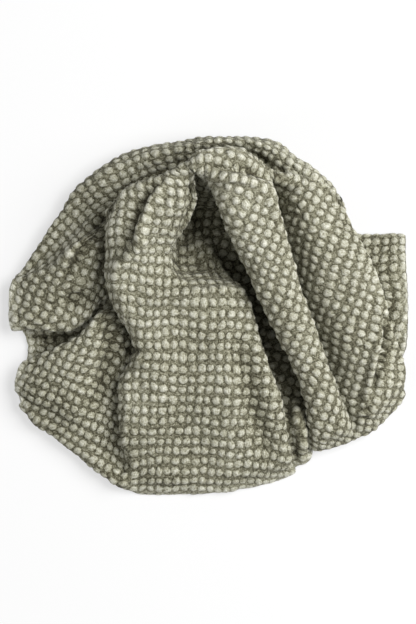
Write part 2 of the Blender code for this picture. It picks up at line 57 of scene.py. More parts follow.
# Each fold line seen from above: squares right of the middle, at each station.
LINE_X = {
    "cheek":     (-11.0, -12.1, -12.6, -12.6, -12.5, -11.6, -9.8, -8.9, -11.2, -10.9, -11.1, -9.9,
                  -9.3),
    "brow":      (-4.6, -6.2, -7.9, -11.2, -10.9, -10.0, -8.1, -7.2, -9.3, -9.1, -9.0, -8.3, -7.5),
    "hood":      (-1.1, -0.8, -2.8, -4.8, -4.1, -3.8, -3.6, -3.6, -3.6, -3.6, -3.5, -3.3, -3.0),
    "apron":     (0.1, 0.6, 0.6, 0.9, 3.7, 5.3, 6.1, 6.9, 7.9, 9.2, 9.7, 10.4, 11.4),
    "arm_left":  (0.45, 1.6, 2.8, 3.9, 5.3, 6.8, 8.5, 10.0, 11.3, 12.3, 12.6, 12.7, 12.7),
    "arm_crest": (4.3, 5.3, 6.4, 7.5, 8.6, 9.5, 10.6, 12.1, 13.4, 14.4, 15.1, 15.3, 15.4),
    "arm_right": (7.8, 8.4, 9.3, 10.3, 11.2, 12.1, 13.2, 14.3, 15.3, 16.3, 17.6, 18.1, 18.3),
    "wing":      (16.0, 17.0, 18.3, 19.9, 21.1, 22.0, 22.7, 24.3, 24.7, 23.9, 21.7, 20.2, 20.0),
    "flap":      (24.6, 24.6, 24.6, 24.6, 24.8, 24.9, 24.9, 24.6, 23.3, 21.5, 20.0, 19.0, 19.0),
}
# Height of each line above the table, and of the panels between the lines.
LINE_Z = {
    "cheek":       (7.6, 7.4, 7.3, 7.2, 7.0, 6.7, 6.2, 5.6, 5.0, 4.5, 3.8, 2.8, 1.6),
    "brow":        (11.2, 11.0, 10.5, 9.3, 8.4, 7.7, 6.9, 6.2, 5.7, 5.1, 4.2, 3.1, 2.0),
    "hood":        (10.4, 9.6, 8.5, 7.6, 7.1, 7.0, 6.6, 6.2, 5.7, 5.0, 4.1, 3.1, 2.0),
    "apron_mid":   (3.6, 2.0, 2.2, 4.0, 6.5, 7.2, 6.9, 6.5, 6.1, 5.5, 4.5, 3.3, 2.0),
    "apron":       (3.2, 2.0, 2.2, 3.7, 5.6, 6.2, 6.1, 5.9, 5.4, 4.8, 4.0, 2.9, 1.8),
    "deep":        (2.6, 2.0, 1.8, 1.7, 1.5, 1.3, 1.2, 1.2, 1.2, 1.2, 1.1, 1.0, 0.9),
    "arm_left":    (11.0, 10.4, 9.7, 9.0, 8.3, 7.6, 6.9, 6.2, 5.5, 4.7, 3.8, 2.9, 1.9),
    "arm_crest":   (12.3, 11.6, 10.9, 10.2, 9.5, 8.7, 8.0, 7.3, 6.5, 5.6, 4.4, 3.0, 2.2),
    "arm_right":   (10.2, 9.6, 9.0, 8.4, 7.8, 7.2, 6.6, 6.0, 5.4, 4.6, 3.5, 2.2, 1.8),
    "wing_left":   (8.0, 7.6, 7.2, 6.8, 6.5, 6.2, 5.8, 5.3, 4.7, 4.1, 3.3, 2.2, 1.8),
    "wing_middle": (7.0, 7.3, 7.6, 7.6, 7.5, 7.3, 6.8, 6.1, 5.2, 4.3, 3.2, 2.0, 1.8),
    "wing":        (6.0, 6.0, 6.2, 6.3, 6.3, 6.0, 5.2, 3.9, 3.0, 2.4, 2.0, 1.6, 1.6),
}
# How far the cloth runs back under each lip before it turns; negative where the
# fold has opened out and the turn lies in plain view as a valley.
TUCK = {
    "cheek":     (1.0, 1.6, 2.1, 2.4, 2.7, 2.8, 2.5, 1.7, 2.0, 1.5, 0.6, -0.3, -0.6),
    "hood":      (1.2, 3.3, 2.8, 0.5, -1.2, -1.3, -1.3, -1.3, -1.3, -1.3, -1.3, -1.3, -1.3),
    "apron":     (-0.5, -0.6, 0.0, 2.0, 2.9, 3.3, 3.4, 3.5, 3.5, 3.0, 2.2, 1.2, 0.4),
    "arm_left":  (0.6, 1.4, 1.7, 1.9, 1.9, 1.9, 1.8, 1.7, 1.4, 0.8, 0.2, 0.1, 0.2),
    "arm_right": (0.3, 1.2, 1.7, 1.8, 1.8, 1.7, 1.6, 1.3, 1.0, 0.2, -0.6, -0.8, -0.8),
    "wing":      (0.0, 0.6, 1.9, 2.5, 2.7, 2.8, 2.5, 1.4, 0.1, -0.3, -0.3, -0.3, -0.3),
}
# Left hem, as (back, right) from the ridge's left end to the front corner.
LEFT_HEM = np.array([
    (6.8, -23.3), (4.1, -24.5), (3.3, -24.7), (-0.5, -24.8), (-2.0, -24.3), (-3.0, -22.2),
    (-4.2, -21.8), (-5.2, -22.6), (-6.2, -23.6), (-8.6, -24.0), (-10.4, -23.9), (-11.4, -23.4)])
# The ridge that the front panels hang from, left to right: right, back, height.
RIDGE = np.array([
    (-24.3, 4.4, 1.9), (-22.4, 5.0, 2.9), (-20.0, 5.4, 4.0), (-18.1, 6.5, 5.2),
    (-16.4, 8.3, 6.2), (-13.5, 11.5, 7.0), (-11.1, 14.9, 8.0), (-10.1, 15.9, 8.5),
    (-7.5, 16.6, 9.5), (-5.5, 17.6, 10.6), (-3.1, 18.6, 11.4),
    (-1.5, 19.8, 11.6), (0.5, 20.4, 11.6), (2.5, 20.6, 11.4), (4.1, 20.4, 11.0), (5.8, 19.5, 10.2),
    (7.1, 18.4, 9.4), (8.1, 17.6, 8.8), (9.9, 17.1, 8.0), (11.8, 16.6, 7.4), (13.6, 16.3, 6.9),
    (15.3, 15.5, 6.4), (16.6, 13.6, 6.1)])
# Outline of the band behind the ridge, left to right: right, back.
BACK_OUTLINE = np.array([
    (-23.4, 4.9), (-21.8, 7.2), (-20.4, 10.0), (-18.2, 13.5), (-16.8, 15.5), (-15.0, 17.1),
    (-13.4, 18.5), (-10.1, 20.2), (-6.1, 21.1), (-2.8, 21.7), (1.5, 22.0), (4.6, 22.1), (6.5, 22.2),
    (8.0, 21.7), (9.5, 20.9), (12.1, 18.9), (14.8, 16.9), (16.0, 15.2), (16.8, 13.6), (17.7, 11.9),
    (18.7, 10.2)])

# Columns of the net: share of the way along the ridge and along the back outline,
# and the front outline's right and back.
COLUMNS = [
    # name             ridge  back   front
    ("left_hem",       0.000, 0.000, (-23.7, -11.2)),
    ("left_outer",     0.060, 0.060, (-21.5, -13.6)),
    ("left_inner",     0.140, 0.140, (-17.5, -16.6)),
    ("left_valley",    0.225, 0.200, (-12.2, -20.7)),
    ("cheek_turn",     0.260, 0.230, (-11.5, -21.1)),
    ("cheek_roll",     0.300, 0.260, (-10.9, -21.5)),
    ("cheek_top",      0.345, 0.300, (-9.6, -21.9)),
    ("brow",           0.460, 0.370, (-7.8, -22.2)),
    ("hood_face",      0.500, 0.410, (-5.7, -22.3)),
    ("hood_roll",      0.530, 0.440, (-3.9, -22.2)),
    ("hood_turn",      0.545, 0.460, (-2.4, -22.2)),
    ("apron_left",     0.555, 0.480, (0.6, -22.0)),
    ("apron_middle",   0.565, 0.500, (4.8, -21.5)),
    ("apron_top",      0.575, 0.520, (8.8, -20.5)),
    ("apron_roll",     0.585, 0.540, (11.0, -19.5)),
    ("apron_turn",     0.600, 0.560, (10.2, -18.6)),
    ("deep",           0.610, 0.580, (11.9, -17.9)),
    ("arm_left_turn",  0.620, 0.600, (12.7, -17.0)),
    ("arm_left_roll",  0.635, 0.620, (12.7, -16.6)),
    ("arm_left_top",   0.660, 0.645, (13.5, -16.9)),
    ("arm_crest",      0.700, 0.670, (15.2, -16.6)),
    ("arm_right_top",  0.745, 0.700, (16.9, -16.1)),
    ("arm_right_roll", 0.775, 0.730, (18.0, -15.6)),
    ("arm_right_turn", 0.800, 0.760, (18.6, -15.4)),
    ("wing_left",      0.850, 0.810, (19.8, -14.8)),
    ("wing_middle",    0.900, 0.860, (21.8, -13.4)),
    ("wing_top",       0.965, 0.915, (24.0, -11.0)),
    ("wing_roll",      0.990, 0.945, (24.9, -8.8)),
    ("wing_turn",      1.000, 0.970, (21.4, -7.6)),
    ("flap_middle",    1.000, 1.000, (22.8, -6.9)),
    ("flap_hem",       1.000, 1.000, (24.2, -6.4)),
]
NAMES = [column[0] for column in COLUMNS]
COLUMN = {name: place for place, name in enumerate(NAMES)}

# Rows of the net, back hem to front hem.
UPPER_ROWS = 7
LOWER_ROWS = 8
BACK_NAMES = [
    "back_hem", "floor", "back_roll", "back_crest", "back_fall", "gutter", "under_ridge", "ridge"]
LEFT_FOLD = [
    "upper_lip", "upper_roll", "upper_turn", "trough", "lower_turn", "lower_roll", "lower_lip"]
FRONT_NAMES = ["front_top", "front_roll", "front_hem"]
ROWS = (BACK_NAMES + [f"upper_{k}" for k in range(UPPER_ROWS)] + LEFT_FOLD
        + [f"lower_{k}" for k in range(LOWER_ROWS)] + FRONT_NAMES)
ROW = {name: place for place, name in enumerate(ROWS)}
PATCHES = len(ROWS) - 1, len(NAMES) - 1    # of the net, down and across

# Heights of the band behind the ridge, by column.
BAND = (
    "left_hem", "hood_face", "apron_turn", "arm_right_turn", "wing_left", "wing_top", "flap_hem")
BAND_FALL_Z = (1.5, 4.2, 5.2, 5.4, 6.0, 4.6, 3.2)
BAND_CREST_Z = (1.4, 4.6, 6.2, 5.9, 5.7, 4.6, 2.9)
BAND_ROLL_AT = ("left_hem", "left_inner", "wing_middle", "flap_hem")
BAND_ROLL_Z = (1.0, 1.9, 1.9, 1.2)
# How far the ridge hangs over that band: 0 is a plain valley, 1 a full overhang.
OVERHANG_AT = ("left_hem", "left_inner", "left_valley", "cheek_roll", "arm_right_top",
               "arm_right_turn", "wing_left", "flap_hem")
OVERHANG = (0.0, 0.1, 0.4, 1.0, 1.0, 0.5, 0.1, 0.1)

# The peak: the crease just in front of the ridge, from the hood to the right arm.
PEAK_AT = ("hood_roll", "hood_turn", "arm_left_roll", "arm_left_top", "arm_crest", "arm_right_top",
           "arm_right_roll")
PEAK_X = (-2.0, -1.8, 0.4, 1.5, 3.3, 5.4, 7.2)
PEAK_Y = (18.2, 18.2, 17.3, 17.0, 16.8, 16.6, 16.6)
PEAK_Z = (11.5, 11.9, 12.4, 12.3, 12.4, 11.3, 9.6)
# Back wall of the hollow under the peak.
HOLLOW_BACK_Y = 15.8
HOLLOW_AT = ("hood_turn", "apron_left", "deep", "arm_left_turn")
HOLLOW_BACK_Z = (9.6, 7.5, 7.0, 9.0)

# The fold that stands up between the apron and the right arm, near the front: heights.
STANDING_FOLD = {
    "lower_4": 1.3, "lower_5": 3.8, "lower_6": 3.7, "lower_7": 3.0, "front_top": 1.9,
    "front_roll": 1.0}

# The fold across the left side, by share of the way from the left hem to the cheek.
UPPER_EDGE_AT, UPPER_EDGE_Y = (0, 0.6), (-2.0, -2.1)
LOWER_EDGE_AT, LOWER_EDGE_Y = (0, 0.25, 0.6), (-5.6, -4.2, -1.9)
UPPER_PANEL_AT, UPPER_PANEL_Z = (0, 0.3, 0.6), (1.8, 3.4, 3.3)
LOWER_PANEL_AT, LOWER_PANEL_Z = (0, 0.25, 0.6), (1.9, 3.6, 5.2)
# The same fold where it has closed up, at the foot of the cheek.
CLOSED_FOLD_Y = (2.9, 2.5, 2.1, 1.8, 1.5, 1.3, 0.6)
CLOSED_FOLD_Z = (4.0, 3.7, 3.4, 3.3, 3.6, 4.3, 4.9)
# The flap's back hem, turned under once: back and height of its first rows.
TURNED_HEM = {
    "flap": ((9.3, 9.8, 10.15, 9.9, 9.3), (0.1, 0.1, 0.42, 0.8, 0.9)),
    "under_wing": ((8.9, 9.7, 10.3, 10.0, 9.4), (0.1, 0.1, 0.8, 1.3, 1.3)),
}


def length(vectors):
    """Lengths of vectors, whose parts run along the last axis."""
    return np.linalg.norm(vectors, axis=-1)


def unit(vectors):
    """Vectors brought to length 1."""
    return vectors / np.maximum(length(vectors), 1e-9)[..., None]


def eased(value, low, high):
    """0 below low, 1 above high, and a smooth S between."""
    share = np.clip((value - low) / (high - low), 0, 1)
    return share * share * (3 - 2 * share)


def at(table, name, back):
    """Value of one fold line's row at the distances back, straight between stations."""
    return np.interp(-back, -STATIONS, table[name])


def along(line, share):
    """Points at a share of a line's length as seen from above, straight between its points."""
    steps = np.hypot(*np.diff(line[:, :2], axis=0).T)
    reach = np.concatenate([[0], np.cumsum(steps)]) / steps.sum()
    return np.stack([np.interp(share, reach, values) for values in line.T], axis=-1)


def by_column(names, values):
    """One value for each column, straight between the named ones."""
    return np.interp(np.arange(len(NAMES)), [COLUMN[name] for name in names], values)


def section(back):
    """Right and height of every column where it crosses the distances back."""
    hem = np.interp(-back, -LEFT_HEM[:, 0], LEFT_HEM[:, 1])
    x, z, tuck = (SimpleNamespace(**{name: at(table, name, back) for name in table})
                  for table in (LINE_X, LINE_Z, TUCK))
    closed = SimpleNamespace(
        **{name: np.clip(reach / 1.2, 0, 1) for name, reach in vars(tuck).items()})

    left_span = x.cheek - hem
    beside_cheek = np.minimum(at(LINE_X, "cheek", back - 1.5), at(LINE_X, "cheek", back + 1.5))
    beside_cheek = np.minimum(beside_cheek, x.cheek)
    brow = np.maximum(x.brow, x.cheek + 1.3)
    bowl_left = x.hood - tuck.hood
    bowl_right = x.arm_left + tuck.arm_left
    apron_start = np.maximum(bowl_left, x.hood) + 0.3
    apron_span = x.apron - apron_start
    open_bowl = 1 - np.clip(tuck.apron, 0, 1)

    def in_bowl(step, folded):
        """Even spacing across the hollow where the apron has no fold of its own."""
        even = bowl_left + (bowl_right - bowl_left) * step / 7
        return folded + (even - folded) * open_bowl

    hood_drop = np.clip(tuck.hood / 2, 0, 1)
    wing_span = x.wing - x.arm_right
    flap_reach = 0.5 * np.maximum(x.flap - x.wing, 3.4)
    arm_fall = np.clip(tuck.arm_right, 0, 1)
    return {
        "left_hem": (hem, 1.3 + 0 * back),
        "left_outer": (hem + 0.22 * left_span, 4.2 + 0 * back),
        "left_inner": (hem + 0.60 * left_span, 4.8 + 0 * back),
        "left_valley": (beside_cheek - 0.35 - 0.8 * (1 - closed.cheek), 4.2 + 0 * back),
        "cheek_turn": (x.cheek + tuck.cheek, z.cheek - 0.8 - closed.cheek * (z.cheek - 2.2)),
        "cheek_roll": (x.cheek - 0.1, z.cheek - 1.3 * closed.cheek),
        "cheek_top": (x.cheek + 0.75, z.cheek + 0.3),
        "brow": (brow, z.brow),
        "hood_face": (0.45 * brow + 0.55 * x.hood, 0.35 * z.brow + 0.65 * z.hood + 0.2),
        "hood_roll": (x.hood + 0.1, z.hood - 0.6 * closed.hood),
        "hood_turn": (bowl_left, z.hood + 0.8 * (z.apron_mid - z.hood) * hood_drop),
        "apron_left": (in_bowl(1, apron_start + 0.30 * apron_span), z.apron_mid),
        "apron_middle": (in_bowl(2, apron_start + 0.62 * apron_span), z.apron_mid),
        "apron_top": (in_bowl(3, x.apron - 0.7), z.apron + 0.3),
        "apron_roll": (in_bowl(4, x.apron + 0.3), z.apron - 0.9 * (1 - open_bowl)),
        "apron_turn": (in_bowl(5, x.apron - tuck.apron), np.maximum(z.deep + 0.3, 0.8)),
        "deep": (in_bowl(6, 0.5 * (x.apron + x.arm_left)), z.deep),
        "arm_left_turn": (bowl_right, z.deep + 0.3),
        "arm_left_roll": (x.arm_left - 0.3, z.arm_left - 1.3),
        "arm_left_top": (0.75 * x.arm_left + 0.25 * x.arm_crest,
                         0.3 * z.arm_left + 0.7 * z.arm_crest),
        "arm_crest": (x.arm_crest, z.arm_crest),
        "arm_right_top": (0.75 * x.arm_right + 0.25 * x.arm_crest,
                          0.4 * z.arm_right + 0.6 * z.arm_crest),
        "arm_right_roll": (x.arm_right + 0.3, z.arm_right - 1.0),
        "arm_right_turn": (x.arm_right - tuck.arm_right + 0.7 * (1 - closed.arm_right),
                           z.arm_right - 1.3 - (z.arm_right - 3.1) * arm_fall),
        "wing_left": (x.arm_right + 0.6 * (1 - closed.arm_right) + 0.22 * wing_span,
                      z.wing_left),
        "wing_middle": (x.arm_right + 0.62 * wing_span, z.wing_middle),
        "wing_top": (x.wing - 0.9, z.wing + 0.2),
        "wing_roll": (x.wing + 0.1, z.wing - 0.7),
        "wing_turn": (np.minimum(x.wing - tuck.wing, x.flap - flap_reach - 1.3),
                      np.interp(back, (-3, 3), (0.6, 0.9))),
        "flap_middle": (x.flap - flap_reach, np.interp(back, (-4, 2), (0.3, 1.2))),
        "flap_hem": (x.flap - 0.8 * np.clip((-4 - back) / 3, 0, 1),
                     np.interp(back, (-4, 2), (0.3, 0.9))),
    }


def left_fold_rows(share):
    """Back and height of the seven rows of the fold across the left side."""
    if share == 1:
        return np.array(CLOSED_FOLD_Y), np.array(CLOSED_FOLD_Z)
    upper = np.interp(share, UPPER_EDGE_AT, UPPER_EDGE_Y)
    lower = np.interp(share, LOWER_EDGE_AT, LOWER_EDGE_Y)
    upper_z = np.interp(share, UPPER_PANEL_AT, UPPER_PANEL_Z)
    lower_z = np.interp(share, LOWER_PANEL_AT, LOWER_PANEL_Z)
    back = (upper + 1.1, upper, upper + 2.4, 0.5 * (upper + lower) - 0.6 * share,
            lower - 2.2 - 1.2 * share, lower, lower - 0.9)
    height = (upper_z, upper_z - 0.9, 0.9, 0.5, 1.1 + 0.8 * share, lower_z - 0.9, lower_z)
    if share == 0:
        height = (1.9, 1.6, 0.8, 0.4, 0.8, 1.6, 1.9)
    return np.array(back), np.array(height)


def left_rows(name, ridge, front):
    """Points of a column left of the cheek, between the ridge and the front."""
    share = {"left_hem": 0.0, "left_outer": 0.3, "left_inner": 0.65, "left_valley": 1.0}[name]
    fold_back, fold_z = left_fold_rows(share)
    back = np.concatenate([
        np.linspace(ridge[1] - 1.0, fold_back[0] + 1.0, UPPER_ROWS), fold_back,
        np.linspace(fold_back[-1] - 1.5, front[1] + 1.9, LOWER_ROWS)])
    x, _ = section(back)[name]
    fall = np.linspace(0, 1, UPPER_ROWS)
    rise = np.linspace(0, 1, LOWER_ROWS)
    upper_z = np.interp(fall, (0, 0.7, 1),
                        (ridge[2] - 0.3, min(ridge[2] - 0.5, 4.4), fold_z[0] + 0.3))
    lower_z = np.interp(rise, (0, 0.7, 1), (fold_z[-1], 0.5 * fold_z[-1] + 1.4, 2.3))
    if name == "left_hem":
        upper_z[:], lower_z[:] = 1.7, 1.6
    if name == "left_valley":
        upper_z[:3] = 5.4, 5.1, 4.8
        under_cheek = at(LINE_Z, "cheek", back[-LOWER_ROWS:]) - 1.9
        lower_z = np.minimum(lower_z, np.maximum(under_cheek, 0.6))
    return np.stack([x, back, np.concatenate([upper_z, fold_z, lower_z])], axis=-1)


def fan_rows(name, ridge, front):
    """Points of a column right of the cheek, between the ridge and the front."""
    back = np.concatenate([
        np.linspace(ridge[1] - 1.5, 3.6, UPPER_ROWS), np.linspace(2.6, -1.6, len(LEFT_FOLD)),
        np.linspace(-3.0, front[1] + 1.9, LOWER_ROWS)])
    x, z = section(back)[name]
    points = np.stack([x, back, z], axis=-1)
    place = COLUMN[name]
    if COLUMN[PEAK_AT[0]] <= place <= COLUMN[PEAK_AT[-1]]:
        points[0] = [by_column(PEAK_AT, values)[place] for values in (PEAK_X, PEAK_Y, PEAK_Z)]
    if COLUMN[HOLLOW_AT[0]] <= place <= COLUMN[HOLLOW_AT[-1]]:
        points[1, 1:] = HOLLOW_BACK_Y, by_column(HOLLOW_AT, HOLLOW_BACK_Z)[place]
    if name == "cheek_turn":
        for row, (row_back, row_z) in enumerate(((12.2, 2.9), (11.1, 2.5), (9.6, 2.0))):
            points[row] = at(LINE_X, "cheek", np.array(row_back)) + 1.3 + 0.3 * row, row_back, row_z
    return points


def back_rows(place, ridge, outline):
    """Points of a column from the back hem over the outer band to the ridge."""
    overhang = by_column(OVERHANG_AT, OVERHANG)[place]
    outward = outline - ridge[:2]
    depth = np.hypot(*outward)
    outward /= depth
    from_middle = ridge[:2] - (0, 5.0)
    over = outward * (1 - overhang) + from_middle / np.hypot(*from_middle) * overhang
    over /= np.hypot(*over)
    valley = 1 - overhang
    fall_z, crest_z = by_column(BAND, BAND_FALL_Z)[place], by_column(BAND, BAND_CREST_Z)[place]
    under = ridge[:2] + over * (min(0.3, 0.08 * depth) * valley - 0.5 * overhang)
    gutter = ridge[:2] + over * (min(0.9, 0.18 * depth) * valley - 1.6 * overhang)
    gutter_z = (overhang * np.clip(0.3 * ridge[2], 1, 3)
                + valley * (ridge[2] - min(1.2, 0.25 * ridge[2])))
    return np.array([
        (outline[0] * 0.8, max(min(9.6, outline[1] - 4), 3.0), 0.1),
        (*(outline - outward * min(2.0, 0.8 * depth)), 0.1),
        (*outline, by_column(BAND_ROLL_AT, BAND_ROLL_Z)[place]),
        (*(ridge[:2] + outward * 0.72 * depth), crest_z),
        (*(ridge[:2] + outward * 0.35 * depth), fall_z),
        (*gutter, gutter_z),
        (*under, ridge[2] - 1.5 * overhang - min(0.5, 0.1 * ridge[2]) * valley),
        ridge])


def front_rows(name, front, outward):
    """Points of a column round the front outline to its hem."""
    if name in ("wing_turn", "flap_middle", "flap_hem"):
        height = 0.6 if name == "wing_turn" else 0.1
        return np.array([(front[0], front[1] + step, height) for step in (1.3, 0.6, 0.0)])
    if name in ("apron_turn", "deep", "arm_left_turn"):
        steps, heights = (-0.9, 0.0, 0.5), (0.5, 0.3, 0.1)
    elif COLUMN["cheek_top"] <= COLUMN[name] <= COLUMN["apron_roll"]:
        steps, heights = (-1.2, -0.4, 0.0), (1.3, 0.7, 0.1)
    else:
        steps, heights = (-0.9, 0.0, -2.0), (2.0, 1.1, 1.1 if name == "wing_roll" else 0.1)
    return np.array([(*(front + outward * step), height) for step, height in zip(steps, heights)])


def fold_net():
    """The net of fold lines: rows by columns of right, back and height, in squares."""
    ridges = along(RIDGE, [column[1] for column in COLUMNS])
    outlines = along(BACK_OUTLINE, [column[2] for column in COLUMNS])
    fronts = np.array([column[3] for column in COLUMNS])
    ridges[COLUMN["left_valley"], 2] = 5.8
    forward = np.gradient(fronts, axis=0)
    outwards = unit(np.stack([forward[:, 1], -forward[:, 0]], axis=-1))
    columns = []
    for place, name in enumerate(NAMES):
        ridge, front = ridges[place], fronts[place]
        rows = left_rows if place <= COLUMN["left_valley"] else fan_rows
        columns.append(np.concatenate([
            back_rows(place, ridge, outlines[place]), rows(name, ridge, front),
            front_rows(name, front, outwards[place])]))
    net = np.stack(columns, axis=1)
    valley, turn = COLUMN["left_valley"], COLUMN["cheek_turn"]
    net[ROW["gutter"]:ROW["ridge"], valley, 2] = 4.2, 5.0
    net[ROW["gutter"]:ROW["ridge"] + 1, turn] = (
        (-11.7, 13.4, 3.5), (-11.4, 13.1, 3.3), (-11.1, 12.8, 3.1))
    net[ROW["gutter"], COLUMN["cheek_roll"]] = (-10.4, 14.2, 3.6)
    for name, height in STANDING_FOLD.items():
        net[ROW[name], COLUMN["deep"], 2] = height
    # The right-hand flap runs straight from the back hem, with no band behind it.
    last = ROW["lower_lip"]
    for name in ("wing_turn", "flap_middle", "flap_hem"):
        turned_back, turned_z = TURNED_HEM["under_wing" if name == "wing_turn" else "flap"]
        turned = len(turned_back)
        back = np.linspace(turned_back[-1], net[last, COLUMN[name], 1], last + 2 - turned)
        back = np.concatenate([turned_back[:-1], back])
        x, z = section(back)[name]
        z[:turned] = turned_z
        net[:last + 1, COLUMN[name]] = np.stack([x, back, z], axis=-1)
    return net


def spline_weights(count, samples):
    """Weights of a uniform cubic B-spline on count points, run straight on past its ends."""
    cell = np.clip(np.floor(samples).astype(int), 0, count - 2)
    t = samples - cell
    blend = np.stack([(1 - t) ** 3, 3 * t**3 - 6 * t**2 + 4,
                      -3 * t**3 + 3 * t**2 + 3 * t + 1, t**3]) / 6
    padded = np.zeros((len(samples), count + 2))
    for step in range(4):
        padded[np.arange(len(samples)), cell + step] = blend[step]
    weights = padded[:, 1:-1].copy()
    weights[:, 0] += 2 * padded[:, 0]
    weights[:, 1] -= padded[:, 0]
    weights[:, -1] += 2 * padded[:, -1]
    weights[:, -2] -= padded[:, -1]
    return weights


def spaced(steps):
    """Places along the net's rows and along its columns, so many steps to a patch."""
    return [np.linspace(0, count, count * steps + 1) for count in PATCHES]


def drawn_smooth(values, rows, columns):
    """The spline over a table of points, rows by columns, at the rows and columns asked for."""
    weights = [spline_weights(*asked) for asked in zip(values.shape, (rows, columns))]
    return np.einsum("ri,cj,ijk->rck", *weights, values, optimize=True)


def cloth_surface(rows, columns):
    """Middle surface of the cloth in metres: the net, pushed out by most of what the
    smoothing takes off it, drawn smooth, and laid flat where it meets the table."""
    net = fold_net()
    net = net + 0.8 * (net - drawn_smooth(net, *spaced(1)))
    surface = drawn_smooth(net, rows, columns)
    surface[..., 2] = np.maximum(surface[..., 2], REST)
    return surface * SQUARE


# ---------------------------------------------------------------- the weave
CELL = 0.0134            # one cell of the waffle
PAD_RISE = 0.0024        # pad top above the grooves
PAD_RADIUS = 0.0060      # of a pad, on the cloth
GROOVE_SKIN = 0.0004     # bottoms of the grooves above the middle of the cloth
BACK_SKIN = 0.0016       # plain back of the cloth below its middle
HEM_WIDTH = 0.017        # the edge is turned under once, this wide

# The weave's direction on each panel, seen from above: degrees clockwise from +X to the
# across-going threads, and how far apart the cells look both ways.
WEAVE = [
    # row             column            turn   across  down
    ("upper_2",      "left_inner",      -80, 0.0135, 0.0130),
    ("upper_3",      "left_outer",      -82, 0.0135, 0.0130),
    ("back_crest",   "left_outer",      -50, 0.0134, 0.0120),
    ("back_crest",   "left_inner",      -48, 0.0134, 0.0120),
    ("back_crest",   "cheek_top",       -38, 0.0134, 0.0120),
    ("back_crest",   "hood_face",       -20, 0.0134, 0.0120),
    ("back_crest",   "arm_left_roll",    -2, 0.0134, 0.0120),
    ("back_crest",   "arm_right_top",    18, 0.0134, 0.0120),
    ("back_crest",   "wing_left",        34, 0.0134, 0.0120),
    ("back_crest",   "wing_top",         40, 0.0134, 0.0120),
    ("ridge",        "arm_crest",        22, 0.0134, 0.0134),
    ("upper_0",      "cheek_top",        -8, 0.0122, 0.0130),
    ("upper_1",      "brow",             20, 0.0108, 0.0134),
    ("upper_2",      "hood_face",        26, 0.0110, 0.0134),
    ("upper_4",      "hood_face",        18, 0.0114, 0.0134),
    ("upper_roll",   "hood_face",         6, 0.0116, 0.0136),
    ("upper_roll",   "hood_turn",         3, 0.0124, 0.0140),
    ("lower_1",      "apron_left",        3, 0.0126, 0.0142),
    ("lower_5",      "hood_roll",         2, 0.0126, 0.0146),
    ("lower_5",      "apron_middle",      5, 0.0126, 0.0146),
    ("lower_2",      "left_inner",       29, 0.0130, 0.0134),
    ("lower_5",      "left_inner",       29, 0.0130, 0.0134),
    ("upper_1",      "arm_crest",        27, 0.0140, 0.0134),
    ("upper_roll",   "arm_crest",        27, 0.0140, 0.0134),
    ("lower_4",      "arm_crest",        27, 0.0140, 0.0134),
    ("upper_3",      "wing_middle",      22, 0.0148, 0.0120),
    ("lower_1",      "wing_middle",      22, 0.0148, 0.0120),
    ("upper_4",      "flap_middle",     -14, 0.0136, 0.0134),
    ("upper_5",      "deep",             15, 0.0134, 0.0134),
]
